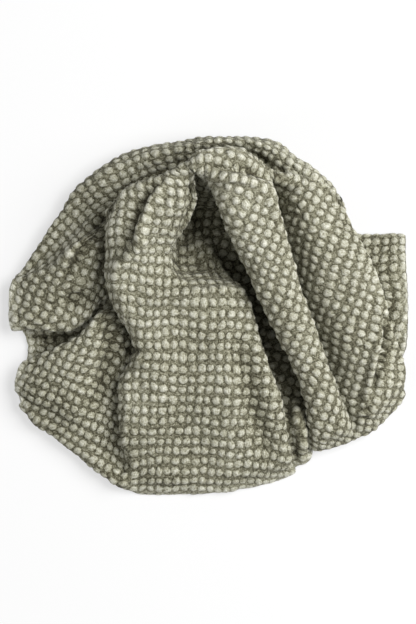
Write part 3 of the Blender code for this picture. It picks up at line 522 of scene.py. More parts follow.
# Small creases of the cloth on top, in squares as seen from above: the line that each runs
# along, its width, and its height, below 0 for a trough.
CREASES = [
    # the peak: its crest, the gap behind it, the fold behind that, the corner over the right arm
    (((-2.6, 18.0), (-0.8, 17.5), (0.5, 17.1), (1.7, 16.7), (3.3, 16.7), (5.1, 16.3), (6.6, 15.9)),
     0.50, 0.55),
    (((-0.2, 18.1), (1.6, 17.7), (3.4, 17.8), (5.2, 17.4), (6.6, 16.9)), 0.45, -0.60),
    (((-0.6, 18.9), (1.4, 19.2), (3.4, 19.2), (5.4, 18.7), (6.8, 17.9), (7.6, 16.8)), 0.55, 0.35),
    (((6.2, 15.9), (7.4, 15.7), (7.7, 14.2), (8.2, 12.4), (9.4, 9.4)), 0.45, 0.45),
    # the brow down to the cheek
    (((-3.4, 17.6), (-5.6, 15.6), (-6.9, 13.4), (-7.9, 11.2), (-8.3, 9.0), (-9.5, 7.6),
      (-10.9, 5.9), (-11.8, 4.2)), 0.60, 0.90),
    (((-5.0, 17.0), (-6.9, 15.2), (-8.2, 13.0), (-9.1, 10.9), (-9.6, 8.9), (-10.8, 7.2)),
     0.55, -0.55),
    # the cheek beside it, and the edge where the cheek folds down behind the back's crest
    (((-8.2, 15.4), (-9.9, 13.4), (-10.6, 11.4), (-11.1, 9.4)), 1.10, 0.80),
    (((-1.1, 18.6), (-2.2, 18.1), (-4.2, 17.4), (-6.9, 16.1), (-9.2, 15.3), (-10.4, 14.5),
      (-11.1, 13.2), (-11.4, 11.9), (-11.9, 8.6)), 0.50, 0.50),
    (((-1.4, 19.4), (-2.6, 18.9), (-4.6, 18.2), (-7.3, 16.9), (-9.7, 16.1), (-11.1, 15.1),
      (-11.9, 13.5), (-12.3, 11.9)), 0.45, -0.65),
    # down the brow's right side, which turns down into the hollow
    (((-2.9, 16.6), (-3.4, 14.9), (-3.2, 12.4), (-4.0, 9.9), (-5.2, 7.6)), 0.60, 0.35),
    (((-2.0, 16.4), (-1.8, 14.6), (-2.0, 12.6), (-2.8, 10.6), (-3.4, 8.4), (-3.4, 6.2),
      (-2.4, 4.4)), 0.95, -0.90),
    (((-1.3, 16.8), (-1.8, 15.6), (-1.9, 14.2)), 0.60, -0.55),
    # across the top of the apron, down its right half, and beside its left edge
    (((-2.8, 6.9), (-0.4, 6.4), (2.4, 5.9), (4.4, 5.6)), 1.50, -1.10),
    (((-7.6, 1.7), (-4.2, 2.5), (-1.0, 2.8), (2.2, 3.0), (4.8, 3.0)), 0.80, 0.70),
    (((3.6, -3.0), (4.8, -7.4), (5.7, -11.4), (6.4, -14.4), (7.4, -17.4)), 1.40, -1.00),
    (((-13.0, 1.4), (-12.4, -1.6), (-12.0, -4.4), (-13.0, -8.0), (-14.2, -11.4)), 1.20, -0.90),
    (((-18.6, 1.8), (-17.0, 1.9), (-15.2, 2.2), (-13.6, 2.4)), 1.30, -0.95),
    # two wrinkles on the apron's left edge
    (((-10.2, -3.9), (-9.2, -4.2), (-8.4, -4.6)), 0.50, -0.60),
    (((-9.2, -5.3), (-8.4, -5.5), (-7.4, -5.9)), 0.50, 0.50),
    # between the apron and the fold that stands up beside it, and along that fold
    (((9.5, -10.6), (10.3, -14.1), (11.0, -18.1)), 0.40, -1.00),
    (((10.8, -11.0), (11.4, -14.1), (11.8, -17.2)), 0.55, 0.80),
    # the pocket under the left side's lip
    (((-22.2, -2.5), (-20.4, -2.8), (-18.4, -2.8), (-17.2, -2.3)), 0.45, -0.80),
    # the left side's crease
    (((-17.5, 5.1), (-16.4, 6.8), (-13.6, 11.1), (-11.7, 13.3)), 0.50, -0.70),
    (((-18.4, 5.6), (-17.2, 7.6), (-14.5, 11.7), (-12.6, 13.9)), 0.60, 0.50),
    # the right side's shoulder, with the dark fold over it
    (((7.8, 17.2), (9.4, 16.6), (10.9, 16.1), (13.0, 15.9)), 0.60, 0.70),
    (((5.4, 19.9), (6.8, 18.9), (7.7, 17.9), (9.0, 17.7)), 0.50, -1.10),
    # down the right edge, and the lobe beside it
    (((21.1, 2.0), (20.9, -0.5), (20.7, -3.6), (19.9, -7.9), (19.4, -11.0)), 0.50, 0.60),
    (((21.8, -0.2), (21.9, -2.4), (21.7, -4.2), (21.1, -6.4), (20.5, -8.6)), 0.40, -1.10),
    # wrinkles over the front of the right arm's foot
    (((18.2, -10.4), (18.8, -10.0), (19.6, -10.2)), 0.30, -0.50),
    (((18.6, -11.6), (19.4, -11.2), (20.2, -11.5)), 0.30, -0.50),
    (((18.4, -12.9), (19.2, -12.5), (20.0, -12.8)), 0.30, -0.40),
]
COARSE = 4               # steps between neighbours of the net where the weave is worked out
PULL = 1.5               # how hard the table's panels pull, against the weave's own squareness
PANEL_REACH = 6          # squared reach of that pull, in patches
PANEL_BLUR = 0.6         # softens the blend between panels, in squared patches
ROUNDS, STEPS = 16, 160  # of the weave's fit


def directions(surface):
    """Unit steps down the columns and along the rows of a surface."""
    return [unit(np.gradient(surface, axis=axis)) for axis in (0, 1)]


def step_lengths(surface):
    """Lengths of the steps down the columns and along the rows of a surface."""
    return [length(np.gradient(surface, axis=axis)) for axis in (0, 1)]


def facing(surface):
    """Unit normals of a surface, up where the cloth shows its face to the sky."""
    return unit(np.cross(*directions(surface)))


def panel_turns(across, second):
    """The weave's turn in the cloth at every sample, as the table's panels would have it,
    how much they pull there, and the cells' sizes both ways.

    A turn is a complex number of length 1.  A panel's turn comes from its weave's two
    directions seen from above, set against the cloth's own directions there.  Between
    panels turns and sizes are blended by distance in the net.
    """
    row, column = np.indices(across.shape[:2]) / COARSE
    total, turns, sizes, nearest = 0, 0, 0, 0
    for row_name, column_name, turn, cell_across, cell_down in WEAVE:
        place = ROW[row_name] * COARSE, COLUMN[column_name] * COARSE
        angle = np.radians(turn)
        waves = np.array([(np.cos(angle), -np.sin(angle)), (-np.sin(angle), -np.cos(angle))])
        on_cloth = waves @ np.stack([across[place][:2], second[place][:2]], axis=1)
        own = complex(on_cloth[0, 0] + on_cloth[1, 1], on_cloth[1, 0] - on_cloth[0, 1])
        gap = (row - ROW[row_name]) ** 2 + (column - COLUMN[column_name]) ** 2
        near = 1 / (gap + PANEL_BLUR) ** 2
        turns = turns + near * own / abs(own)
        sizes = sizes + near[..., None] * np.array([cell_across, cell_down])
        total = total + near
        nearest = np.maximum(nearest, np.exp(-gap / PANEL_REACH))
    return turns / np.abs(turns), nearest, sizes / total[..., None]


def weave_coordinates():
    """Both weave coordinates, in cells, at the coarse samples of the net.

    They are the functions that come nearest, by weighted least squares, to lying on the
    cloth as the flat weave would: square, with its cells at their full size.  Each round
    takes the turn of the weave at every sample from the last round's coordinates, leaned
    towards the panels' turns, and finds the coordinates whose steps fit those turns best by
    the conjugate gradient method.  Cloth that faces up has the most weight.
    """
    surface = cloth_surface(*spaced(COARSE))
    down, across = directions(surface)
    lean = np.sum(down * across, axis=-1)
    second = down - lean[..., None] * across
    height = np.maximum(length(second), 0.2)
    second = second / height[..., None]
    wished, pull, sizes = panel_turns(across, second)
    show = 0.05 + np.clip(facing(surface)[..., 2], 0, 1) ** 2
    longs = [length(np.diff(surface, axis=axis)) for axis in (0, 1)]
    sides = [np.pad(longs[1][:-1], ((0, 0), (0, 1)), "edge"),
             np.pad(longs[0][:, :-1], ((0, 1), (0, 0)), "edge")]
    weights = [between * np.clip(side / long, 0.05, 20) for between, side, long in zip(
        (0.5 * (show[:-1] + show[1:]), 0.5 * (show[:, :-1] + show[:, 1:])), sides, longs)]

    def spread(down_steps, across_steps):
        """What the weighted steps add up to at each sample."""
        total = np.zeros((*surface.shape[:2], down_steps.shape[-1]))
        down_steps = weights[0][..., None] * down_steps
        across_steps = weights[1][..., None] * across_steps
        total[1:] += down_steps
        total[:-1] -= down_steps
        total[:, 1:] += across_steps
        total[:, :-1] -= across_steps
        return total

    met = np.zeros(surface.shape[:2])
    met[1:] += weights[0]
    met[:-1] += weights[0]
    met[:, 1:] += weights[1]
    met[:, :-1] += weights[1]
    scale = 1 / met[..., None]
    found = np.zeros((*surface.shape[:2], 2))
    turn = wished
    for number in range(ROUNDS):
        if number:
            by_down, by_across = (np.gradient(found, axis=axis) / long[..., None]
                                  for axis, long in enumerate(step_lengths(surface)))
            by_second = (by_down - lean[..., None] * by_across) / height[..., None]
            own = (by_across[..., 0] + by_second[..., 1]
                   + 1j * (by_across[..., 1] - by_second[..., 0]))
            turn = own / np.maximum(np.abs(own), 1e-9) + PULL * pull * wished
            turn = turn / np.maximum(np.abs(turn), 1e-9)
        first_rate = np.stack([turn.real, turn.imag], axis=-1) / sizes
        second_rate = np.stack([-turn.imag, turn.real], axis=-1) / sizes
        down_rate = lean[..., None] * first_rate + height[..., None] * second_rate
        goals = [0.5 * (down_rate[1:] + down_rate[:-1]) * longs[0][..., None],
                 0.5 * (first_rate[:, 1:] + first_rate[:, :-1]) * longs[1][..., None]]
        left = spread(goals[0] - np.diff(found, axis=0), goals[1] - np.diff(found, axis=1))
        eased_left = scale * left
        way, size = eased_left, (left * eased_left).sum(axis=(0, 1))
        for _ in range(STEPS if number else 5 * STEPS):
            pulled = spread(np.diff(way, axis=0), np.diff(way, axis=1))
            step = size / np.maximum((way * pulled).sum(axis=(0, 1)), 1e-30)
            found = found + step * way
            left = left - step * pulled
            eased_left = scale * left
            last_size, size = size, (left * eased_left).sum(axis=(0, 1))
            way = eased_left + size / np.maximum(last_size, 1e-30) * way
    return found


# ---------------------------------------------------------------- the cloth's skin
SHOWN_STEP = 0.00215     # between vertices of cloth that shows from above
SIDE_STEP = 0.0030       # where it shows only from the side
HIDDEN_STEP = 0.011      # where it lies hidden and flat, and at most
TIGHT_STEP = 0.004       # in hidden bends, at least
BEND_SHARE = 0.45        # this share of the radius in hidden bends
BACK_STEP = 0.0065       # on the plain back, where that shows from a side
FADE_STEPS = (0.0034, 0.0060)    # steps at which the pads start to fade and are gone
FINE = 24                # samples between neighbours of the net in the fine tables
COUNTS = np.array([1, 2, 3, 4, 5, 6, 8, 10, 12, 15, 20, 24])    # steps a patch may have each way
KEY = 120                # whole numbers name the places of vertices, so many to a patch
SHOWN_SHARE = 0.04       # of a patch, past which the patch counts as shown
CELL_TABLE = 97, 89      # the cells' own random numbers come again after so many cells
CELL_REACH = 0.010, 0.017    # least and most that a cell counts for when its pad's radii are set
NECK_GAPS = 0.12, 0.20   # half gaps between pads, in cells, where necks start and are whole
NECK_OVERLAP = 0.10      # how far a neck runs in under its pads, in cells
NECK_HALF = 0.33         # half a neck's width, in cells
HEM_RISE = 0.0006        # what the hem's second layer adds
SEAM_HALF = 0.0012       # half the width of the hem's seam
SEAM_DEPTH = 0.0010
EDGE_ROUND = 0.0022      # over which the face rounds off to the edge
EDGE_REACH, EDGE_PADS = 0.0003, 0.0016    # how far the edge stands out, and its pads past it
LUMPS = (0.0010, 0.33, 21), (0.0016, 0.13, 22)    # soft lumps: height, waves to a cell, seed


def ripple(u, v, waves, seed):
    """A soft random ripple of about -1 to 1: the mean of sine waves that run every way,
    with about so many waves to a cell."""
    rng = np.random.default_rng(seed)
    total = 0
    for way in rng.uniform(0, 2 * np.pi, 7):
        pace = 2 * np.pi * waves * rng.uniform(0.6, 1.4)
        along = u * np.cos(way) + v * np.sin(way)
        total = total + np.sin(pace * along + rng.uniform(0, 2 * np.pi))
    return total / 3.2


def by_cell(u, v, seed):
    """A random number from 0 to 1 for each cell, the same all over the cell."""
    table = np.random.default_rng(seed).random(CELL_TABLE)
    return table[tuple(np.floor(way).astype(int) % count for way, count in zip((u, v), CELL_TABLE))]


def cell_sizes(surface, weave):
    """How far a cell reaches both ways at each fine sample, in metres.

    With P a place and u, v the weave's coordinates, changes of all three down the rows and
    across the columns give dP/du = (P_down v_across - P_across v_down) / (u_down v_across -
    u_across v_down), and dP/dv in the same way.
    """
    down, across = np.gradient(surface, axis=(0, 1))
    (u_down, v_down), (u_across, v_across) = (
        np.moveaxis(step, -1, 0)[..., None] for step in np.gradient(weave, axis=(0, 1)))
    area = u_down * v_across - u_across * v_down
    reaches = down * v_across - across * v_down, across * u_down - down * u_across
    return np.clip(np.stack([length(reach / area) for reach in reaches], axis=-1), 0.008, 0.080)


def waffle(u, v, size, parts):
    """Height of the weave, 0 in the grooves to about 1 on the pads; each pad's shifts and own
    share of the height, its radii both ways in cells; and the wavering coordinates.

    A pad, a round dome, sits in the middle of each cell, with a groove round it and low flat
    weave at the corners of the cells.  A dome is 1 less the squared distance from its middle,
    counted in its radii, to the power of 0.62, and a groove is exp(-((distance - 1.08) /
    0.20) squared).  Where two pads lie far apart, a lower dome, the neck, fills the gap.  On
    steep cloth that stretches the cells, each is parted into as many as fit.
    """
    u = u + 0.15 * ripple(u, v, 0.16, 3) + 0.05 * ripple(u, v, 0.6, 5)
    v = v + 0.15 * ripple(u, v, 0.16, 4) + 0.05 * ripple(u, v, 0.6, 6)
    cell = u * parts[:, 0], v * parts[:, 1]
    reach = np.clip(size / parts, *CELL_REACH)
    shifts = np.stack([0.13 * (by_cell(*cell, seed) - 0.5) for seed in (11, 12)], axis=-1)
    radii = np.minimum(PAD_RADIUS * (0.86 + 0.22 * by_cell(*cell, 13))[:, None] / reach, 0.49)
    own = 0.78 + 0.27 * by_cell(*cell, 8) ** 0.7 - 0.30 * (by_cell(*cell, 14) > 0.96)
    inside = np.mod(np.stack(cell, axis=-1), 1) - 0.5
    away = length((inside - shifts) / radii)
    height = 0.28 - 0.28 * np.exp(-((away - 1.08) / 0.20) ** 2)
    for way in (0, 1):
        gap = 0.5 - radii[:, way]
        along = (0.5 - np.abs(inside[:, way])) / (gap + NECK_OVERLAP)
        beside = inside[:, 1 - way] / NECK_HALF
        neck = np.sqrt(np.clip(1 - along ** 2 - beside ** 2, 0, 1)) * eased(gap, *NECK_GAPS)
        height = height + (0.66 - height) * neck
    dome = np.clip(1 - away ** 2, 0, 1) ** 0.62
    height = height + (1.05 * own - height) * dome
    return height, np.column_stack([shifts, own]), radii, np.column_stack([u, v])


def looked_up(table, place):
    """Values of a fine table between its samples, straight from one to the next."""
    spot = place * FINE
    low = np.clip(np.floor(spot).astype(int), 0, np.array(table.shape[:2]) - 2)
    (down, across), (row, column) = (spot - low).T, low.T
    if table.ndim == 3:
        down, across = down[..., None], across[..., None]
    near, far = (table[line, column] * (1 - across) + table[line, column + 1] * across
                 for line in (row, row + 1))
    return near * (1 - down) + far * down


def shows(surface, normal, towards, grain=0.003, behind=0.006):
    """Where a surface shows from a direction: its points are dropped into square bins
    across that direction, and those near the foremost point of their bin show."""
    towards = np.array(towards) / length(towards)
    side = unit(np.cross(towards, (0.0, 1.0, 0.0) if abs(towards[1]) < 0.9 else (1.0, 0.0, 0.0)))
    place = np.stack([surface @ side, surface @ np.cross(towards, side)], axis=-1)
    bins = np.floor((place - place.min(axis=(0, 1))) / grain).astype(int)
    depth = surface @ towards
    foremost = np.full(bins.max(axis=(0, 1)) + 1, -np.inf)
    np.maximum.at(foremost, (bins[..., 0], bins[..., 1]), depth)
    return (depth > foremost[bins[..., 0], bins[..., 1]] - behind) & (normal @ towards > -0.1)


def per_patch(values, how):
    """One number for each patch of the net from the fine samples in it."""
    rows, columns = PATCHES
    return how(values[:-1, :-1].reshape(rows, FINE, columns, FINE), axis=(1, 3))


def patch_of(places):
    """The patches that places, each a row and a column of the net, lie in."""
    return tuple(np.minimum(places.astype(int), np.array(PATCHES) - 1).T)


def patch_steps(surface, normal):
    """How far apart vertices may lie on each patch, on the face and on the back: close where
    it shows from above or from the side, further where it is hidden, closer in tight bends."""
    def seen(normal, towards):
        """The patches that show, at least in part, from a direction."""
        return per_patch(shows(surface, normal, towards), np.mean) > SHOWN_SHARE

    bend = 0
    for axis, long in enumerate(step_lengths(surface)):
        bend = np.maximum(bend, length(np.gradient(normal, axis=axis)) / np.maximum(long, 2e-4))
    hidden = BEND_SHARE / np.maximum(per_patch(bend, np.mean), 1)
    hidden = np.clip(hidden, TIGHT_STEP, HIDDEN_STEP)
    face, back = hidden, hidden
    for turn in np.arange(8) * np.pi / 4:
        for rise in (0.25, 0.9):
            towards = np.cos(turn), np.sin(turn), rise
            face = np.where(seen(normal, towards), SIDE_STEP, face)
            back = np.where(seen(-normal, towards), np.minimum(back, BACK_STEP), back)
    steep = np.clip(per_patch(normal[..., 2], np.mean), 0.65, 1)
    return np.where(seen(normal, (0, 0, 1)), SHOWN_STEP / steep, face), back


def cell_parts(sizes):
    """Into how many parts the cells of each patch are split both ways: 1 where they keep
    about their size, more where steep cloth stretches them."""
    usual = np.stack([per_patch(sizes[..., way], np.median) for way in (0, 1)], axis=-1)
    return np.clip(np.floor(usual / CELL + 0.45), 1, 5)


def patch_counts(surface, steps):
    """Steps down and across each patch: its longest lines over the step it may have, and
    the next number that is allowed."""
    found = []
    rows, columns = PATCHES
    for axis in (0, 1):
        long = length(np.diff(surface, axis=axis))[:rows * FINE, :columns * FINE]
        lines = long.reshape(rows, FINE, columns, FINE).sum(axis=1 + 2 * axis)
        wanted = 0.93 * (np.quantile(lines, 0.7, axis=2 - axis) / steps)
        found.append(COUNTS[np.minimum(np.searchsorted(COUNTS, wanted), len(COUNTS) - 1)])
    return found


def patch_faces(down, across):
    """Vertices and faces of a sheet of patches with their own numbers of steps.

    A vertex is named by whole numbers, its row and column counted in KEY to a patch.  Where
    two patches meet, the vertices of the finer one close up onto those of the coarser, and
    faces that this leaves with three corners become triangles.
    """
    def shared(steps, axis):
        """The fewer steps of each patch and the next one, before it and after it."""
        last = steps.shape[axis] - 1
        return [np.minimum(steps, steps.take(np.clip(np.arange(last + 1) + way, 0, last), axis))
                for way in (-1, 1)]

    def closed(side, steps):
        """The vertices along a side, closed up onto those of so many steps."""
        gap = KEY // steps[:, None]
        return (side + gap // 2) // gap * gap

    sides = (0, -1)
    edge_down, edge_across = shared(down, 1), shared(across, 0)
    columns = KEY * PATCHES[1] + 1
    corners = []
    for steps_down in COUNTS:
        for steps_across in COUNTS:
            place = np.nonzero((down == steps_down) & (across == steps_across))
            if len(place[0]) == 0:
                continue
            row, column = (np.repeat(line[None], len(place[0]), axis=0) for line in np.meshgrid(
                np.arange(steps_down + 1) * (KEY // steps_down),
                np.arange(steps_across + 1) * (KEY // steps_across), indexing="ij"))
            for side, edge in zip(sides, edge_across):
                column[:, side] = closed(column[:, side], edge[place])
            for side, edge in zip(sides, edge_down):
                row[:, :, side] = closed(row[:, :, side], edge[place])
            patch_row, patch_column = (KEY * line[:, None, None] for line in place)
            name = (row + patch_row) * columns + column + patch_column
            corners.append(np.stack([name[:, :-1, :-1], name[:, 1:, :-1], name[:, 1:, 1:],
                                     name[:, :-1, 1:]], axis=-1).reshape(-1, 4))
    names, corners = np.unique(np.concatenate(corners), return_inverse=True)
    corners = corners.reshape(-1, 4)
    same = corners == np.roll(corners, -1, axis=1)
    halved = same.sum(axis=1) == 1
    kept = np.sort(np.argsort(same[halved], axis=1, kind="stable")[:, :3], axis=1)
    return (np.stack(np.divmod(names, columns), axis=-1), corners[same.sum(axis=1) == 0],
            np.take_along_axis(corners[halved], kept, axis=1))


def rim_order(key):
    """Vertices on the four sides of a sheet, in their order round it."""
    (row, column), (rows, columns) = key.T, KEY * np.array(PATCHES)
    sides = ((row == 0, column), (column == columns, row),
             (row == rows, -column), (column == 0, -row))
    return np.concatenate([np.nonzero(on)[0][np.argsort(along[on])][:-1] for on, along in sides])


def to_line(points, line):
    """Distance of points from a line of straight pieces, seen from above, and how far along
    the line, 0 to 1, the nearest place is."""
    line = np.array(line, dtype=float)
    lengths = length(np.diff(line, axis=0))
    starts = np.concatenate([[0], np.cumsum(lengths)])
    nearest, along = np.full(len(points), np.inf), np.zeros(len(points))
    for first, second, long, start in zip(line[:-1], line[1:], lengths, starts):
        share = np.clip((points - first) @ (second - first) / long ** 2, 0, 1)
        away = length(points - first - share[:, None] * (second - first))
        along = np.where(away < nearest, (start + share * long) / starts[-1], along)
        nearest = np.minimum(away, nearest)
    return nearest, along


def crease_lift(points):
    """Height, in metres, of all the small creases over a point seen from above, and the painted
    shade of the troughs, 0 to 1, strongest in the narrow ones.

    A crease is a soft ridge or trough: its height falls off as exp(-(distance / width)
    squared), and runs out at both its ends.
    """
    where, total, folded = points[:, :2] / SQUARE, 0, 0
    for line, width, height in CREASES:
        away, along = to_line(where, line)
        share = np.exp(-(away / width) ** 2) * np.sin(np.pi * np.clip(along, 0.02, 0.98)) ** 0.35
        total = total + height * share
        # painted shade: how much the colour is darkened in the troughs, standing in for their
        # shadow
        folded = np.maximum(folded, -1.4 * height * share * min(1, 0.55 / width))
    return total * SQUARE, np.clip(folded, 0, 1)


def spread_out(mask, passes=3, reach=4):
    """A 0 or 1 mask of the fine samples with soft borders: means with neighbours, repeated."""
    soft = mask.astype(float)
    for _ in range(passes):
        for axis in (0, 1):
            soft = (np.roll(soft, reach, axis) + soft + np.roll(soft, -reach, axis)) / 3
    return soft


def hem_distance(surface):
    """How far each fine sample lies from the nearest edge of the cloth, along the cloth."""
    nearest = np.inf
    for axis in (0, 1):
        long = length(np.diff(surface, axis=axis))
        start = np.zeros_like(long.take([0], axis))
        run = np.concatenate([start, np.cumsum(long, axis=axis)], axis=axis)
        nearest = np.minimum(nearest, np.minimum(run, run.take([-1], axis) - run))
    return nearest


def cloth_mesh():
    """The whole cloth: face with its pads, plain back, and a rounded edge between them.

    The face stands out from the middle surface by the weave's height; the hem's face is flat,
    doubled cloth with a groove along its seam, and rounds off to the edge.  Returned are the
    vertices, the faces, the weave at every corner of a face, and what the material reads at every
    vertex: the pad, its radii, and the painted shading, which is painted shade in the troughs,
    painted light towards the edge and round the rim, darker along the seam and lighter on the
    doubled hem.
    """
    samples = spaced(FINE)
    surface = cloth_surface(*samples)
    normal = facing(surface)
    weave = drawn_smooth(weave_coordinates(), *(line * COARSE for line in samples))
    edge, sizes = hem_distance(surface), cell_sizes(surface, weave)
    parts = cell_parts(sizes)
    on_top = spread_out(shows(surface, normal, (0, 0, 1)))

    def sheet(counts):
        """A sheet with so many steps to its patches: at its vertices the middle surface, its
        normal, the weave, the soft lumps with the small creases, which are on top only, the painted
        shade of the troughs, and the pads."""
        key, *faces = patch_faces(*counts)
        place = key / KEY
        made = SimpleNamespace(key=key, place=place, faces=faces, uv=looked_up(weave, place),
                               middle=looked_up(surface, place), out=unit(looked_up(normal, place)))
        creases, folded = crease_lift(made.middle)
        top = looked_up(on_top, place)
        lumps = sum(height * ripple(*made.uv.T, *waves) for height, *waves in LUMPS)
        made.lift, made.folded = creases * top + lumps, folded * top
        made.relief, made.pad, made.radii, made.warped = waffle(
            *made.uv.T, looked_up(sizes, place), parts[patch_of(place)])
        return made

    counts, back_counts = (patch_counts(surface, steps) for steps in patch_steps(surface, normal))
    back_counts = [np.minimum(fewer, most) for fewer, most in zip(back_counts, counts)]
    for fewer, most in zip(back_counts, counts):
        for side in (np.s_[0], np.s_[-1], np.s_[:, 0], np.s_[:, -1]):
            fewer[side] = most[side]
    face, back = sheet(counts), sheet(back_counts)

    widest = np.maximum(*(per_patch(long, np.mean) * FINE / count
                          for long, count in zip(step_lengths(surface), counts)))
    shown = 1 - eased(widest[patch_of(face.place)], *FADE_STEPS)
    hem = looked_up(edge, face.place)
    doubled = 1 - eased(hem, HEM_WIDTH - SEAM_HALF, HEM_WIDTH + SEAM_HALF)
    seam = np.exp(-((hem - HEM_WIDTH) / SEAM_HALF) ** 2) * shown
    rounded = 0.5 + 0.5 * np.sqrt(1 - (1 - np.clip(hem / EDGE_ROUND, 0, 1)) ** 2)
    relief = ((face.relief * shown + 0.45 * (1 - shown)) * (1 - 0.35 * doubled)
              + 0.25 * doubled * ripple(*face.uv.T, 1.0, 23))
    lift = (GROOVE_SKIN + PAD_RISE * relief + HEM_RISE * doubled - SEAM_DEPTH * seam) * rounded
    face.pad[:, 2] *= 1 - 0.25 * doubled
    # Painted shading for the colour: painted shade in the troughs, darker along the seam, lighter
    # on the doubled hem, and painted light within 10 mm of the edge, where the cloth turns away
    # from the lamps.
    fold = face.folded + 0.5 * seam - 0.45 * doubled - 0.5 * eased(-hem, -0.010, 0)
    points = face.middle + face.out * (lift + face.lift)[:, None]
    back_points = back.middle + back.out * (back.lift - BACK_SKIN)[:, None]

    front_rim, back_rim = rim_order(face.key), rim_order(back.key)
    around, out = face.middle[front_rim], face.out[front_rim]
    outward = unit(np.cross(np.roll(around, -1, axis=0) - np.roll(around, 1, axis=0), out))
    turn = np.sign(np.sum(outward * (around - around.mean(axis=0)), axis=1).sum())
    scallops = EDGE_REACH + EDGE_PADS * relief[front_rim]
    mid_rim = around + outward * turn * scallops[:, None] + out * (-0.3 * BACK_SKIN)
    first_back, first_mid = len(points), len(points) + len(back_points)
    mids = first_mid + np.arange(len(front_rim))
    rim = np.concatenate([np.stack([one, other, np.roll(other, -1), np.roll(one, -1)], axis=1)
                          for one, other in ((front_rim, mids), (mids, back_rim + first_back))])
    groups = [*face.faces, *(faces[:, ::-1] + first_back for faces in back.faces), rim]
    vertices = np.concatenate([points, back_points, mid_rim])
    vertices[:, 2] = np.maximum(vertices[:, 2], 0)

    places, coordinates, pads, radii = (
        np.concatenate([of_face, of_back, of_face[front_rim]]) for of_face, of_back in (
            (face.place, back.place), (face.warped, back.warped), (face.pad, back.pad),
            (face.radii, back.radii)))
    corners = np.concatenate([
        (coordinates[group] * parts[patch_of(places[group].mean(axis=1))][:, None]).reshape(-1, 2)
        for group in groups])
    # painted shading at every vertex: none on the back, and painted light (-1) on the rim's middle
    # loop, which faces away from the lamps
    folds = np.concatenate([fold, np.zeros(len(back_points)), np.full(len(mids), -1.0)])
    return (vertices, sum((group.tolist() for group in groups), []), corners, pads,
            np.column_stack([radii, folds]))


# ---------------------------------------------------------------- the material
def operator(operation, swapped=False):
    """An operator of a Value: it adds one Math node."""
    def added(value, other):
        return value.board.maths(operation, *((other, value) if swapped else (value, other)))
    return added


class Value:
    """One value of a material; the usual operators on it add Math nodes."""

    def __init__(self, board, socket):
        self.board, self.socket = board, socket

    __add__ = __radd__ = operator("ADD")
    __mul__ = __rmul__ = operator("MULTIPLY")
    __sub__, __rsub__ = operator("SUBTRACT"), operator("SUBTRACT", swapped=True)
    __truediv__, __pow__ = operator("DIVIDE"), operator("POWER")


class Board:
    """The nodes of one material."""

    def __init__(self, material):
        material.use_nodes = True
        self.tree = material.node_tree
        self.tree.nodes.clear()

    def node(self, kind, settings=None, inputs=None, output=0):
        """One node: its settings first, a ramp's stops among them, then its inputs."""
        made = self.tree.nodes.new(kind)
        for name, value in (settings or {}).items():
            if name == "stops":
                stops = made.color_ramp.elements
                while len(stops) < len(value):
                    stops.new(0.5)
                for stop, (place, colour) in zip(stops, value):
                    stop.position, stop.color = place, (*colour, 1.0)
            else:
                setattr(made, name, value)
        for name, value in (inputs or {}).items():
            if isinstance(value, Value):
                self.tree.links.new(value.socket, made.inputs[name])
            else:
                made.inputs[name].default_value = value
        return Value(self, made.outputs[output]) if len(made.outputs) else None

    def maths(self, operation, *values):
        return self.node("ShaderNodeMath", {"operation": operation}, dict(enumerate(values)))

    def clamped(self, value):
        """The value, held between 0 and 1."""
        return self.node("ShaderNodeClamp", {}, {0: value})

    def smooth(self, value, low, high):
        """0 below low, 1 above high, and a smooth S between."""
        return self.node("ShaderNodeMapRange", {"interpolation_type": "SMOOTHSTEP"},
                         {"Value": value, "From Min": low, "From Max": high})

    def vector(self, x, y, z=0.0):
        return self.node("ShaderNodeCombineXYZ", {}, {0: x, 1: y, 2: z})

    def noise(self, where, scale=1.0, detail=2.0, roughness=0.5):
        return self.node("ShaderNodeTexNoise", {"noise_dimensions": "3D"}, {
            "Vector": where, "Scale": scale, "Detail": detail, "Roughness": roughness})

    def split(self, vector):
        """The three parts of a vector."""
        first = self.node("ShaderNodeSeparateXYZ", {}, {0: vector})
        return [first, *(Value(self, socket) for socket in first.socket.node.outputs[1:])]


SLIDE = (-0.0003, 0.0001)    # sets the middle of the heap over the origin

# The cotton's colour by tone, from the bottoms of folds and grooves, darkened by painted shade, to
# the tops of the pads, partly painted lighter.
TONES = [(0.0, (0.037, 0.033, 0.018)), (0.2, (0.120, 0.113, 0.072)),
         (0.45, (0.302, 0.295, 0.216)), (1.0, (0.76, 0.755, 0.67))]


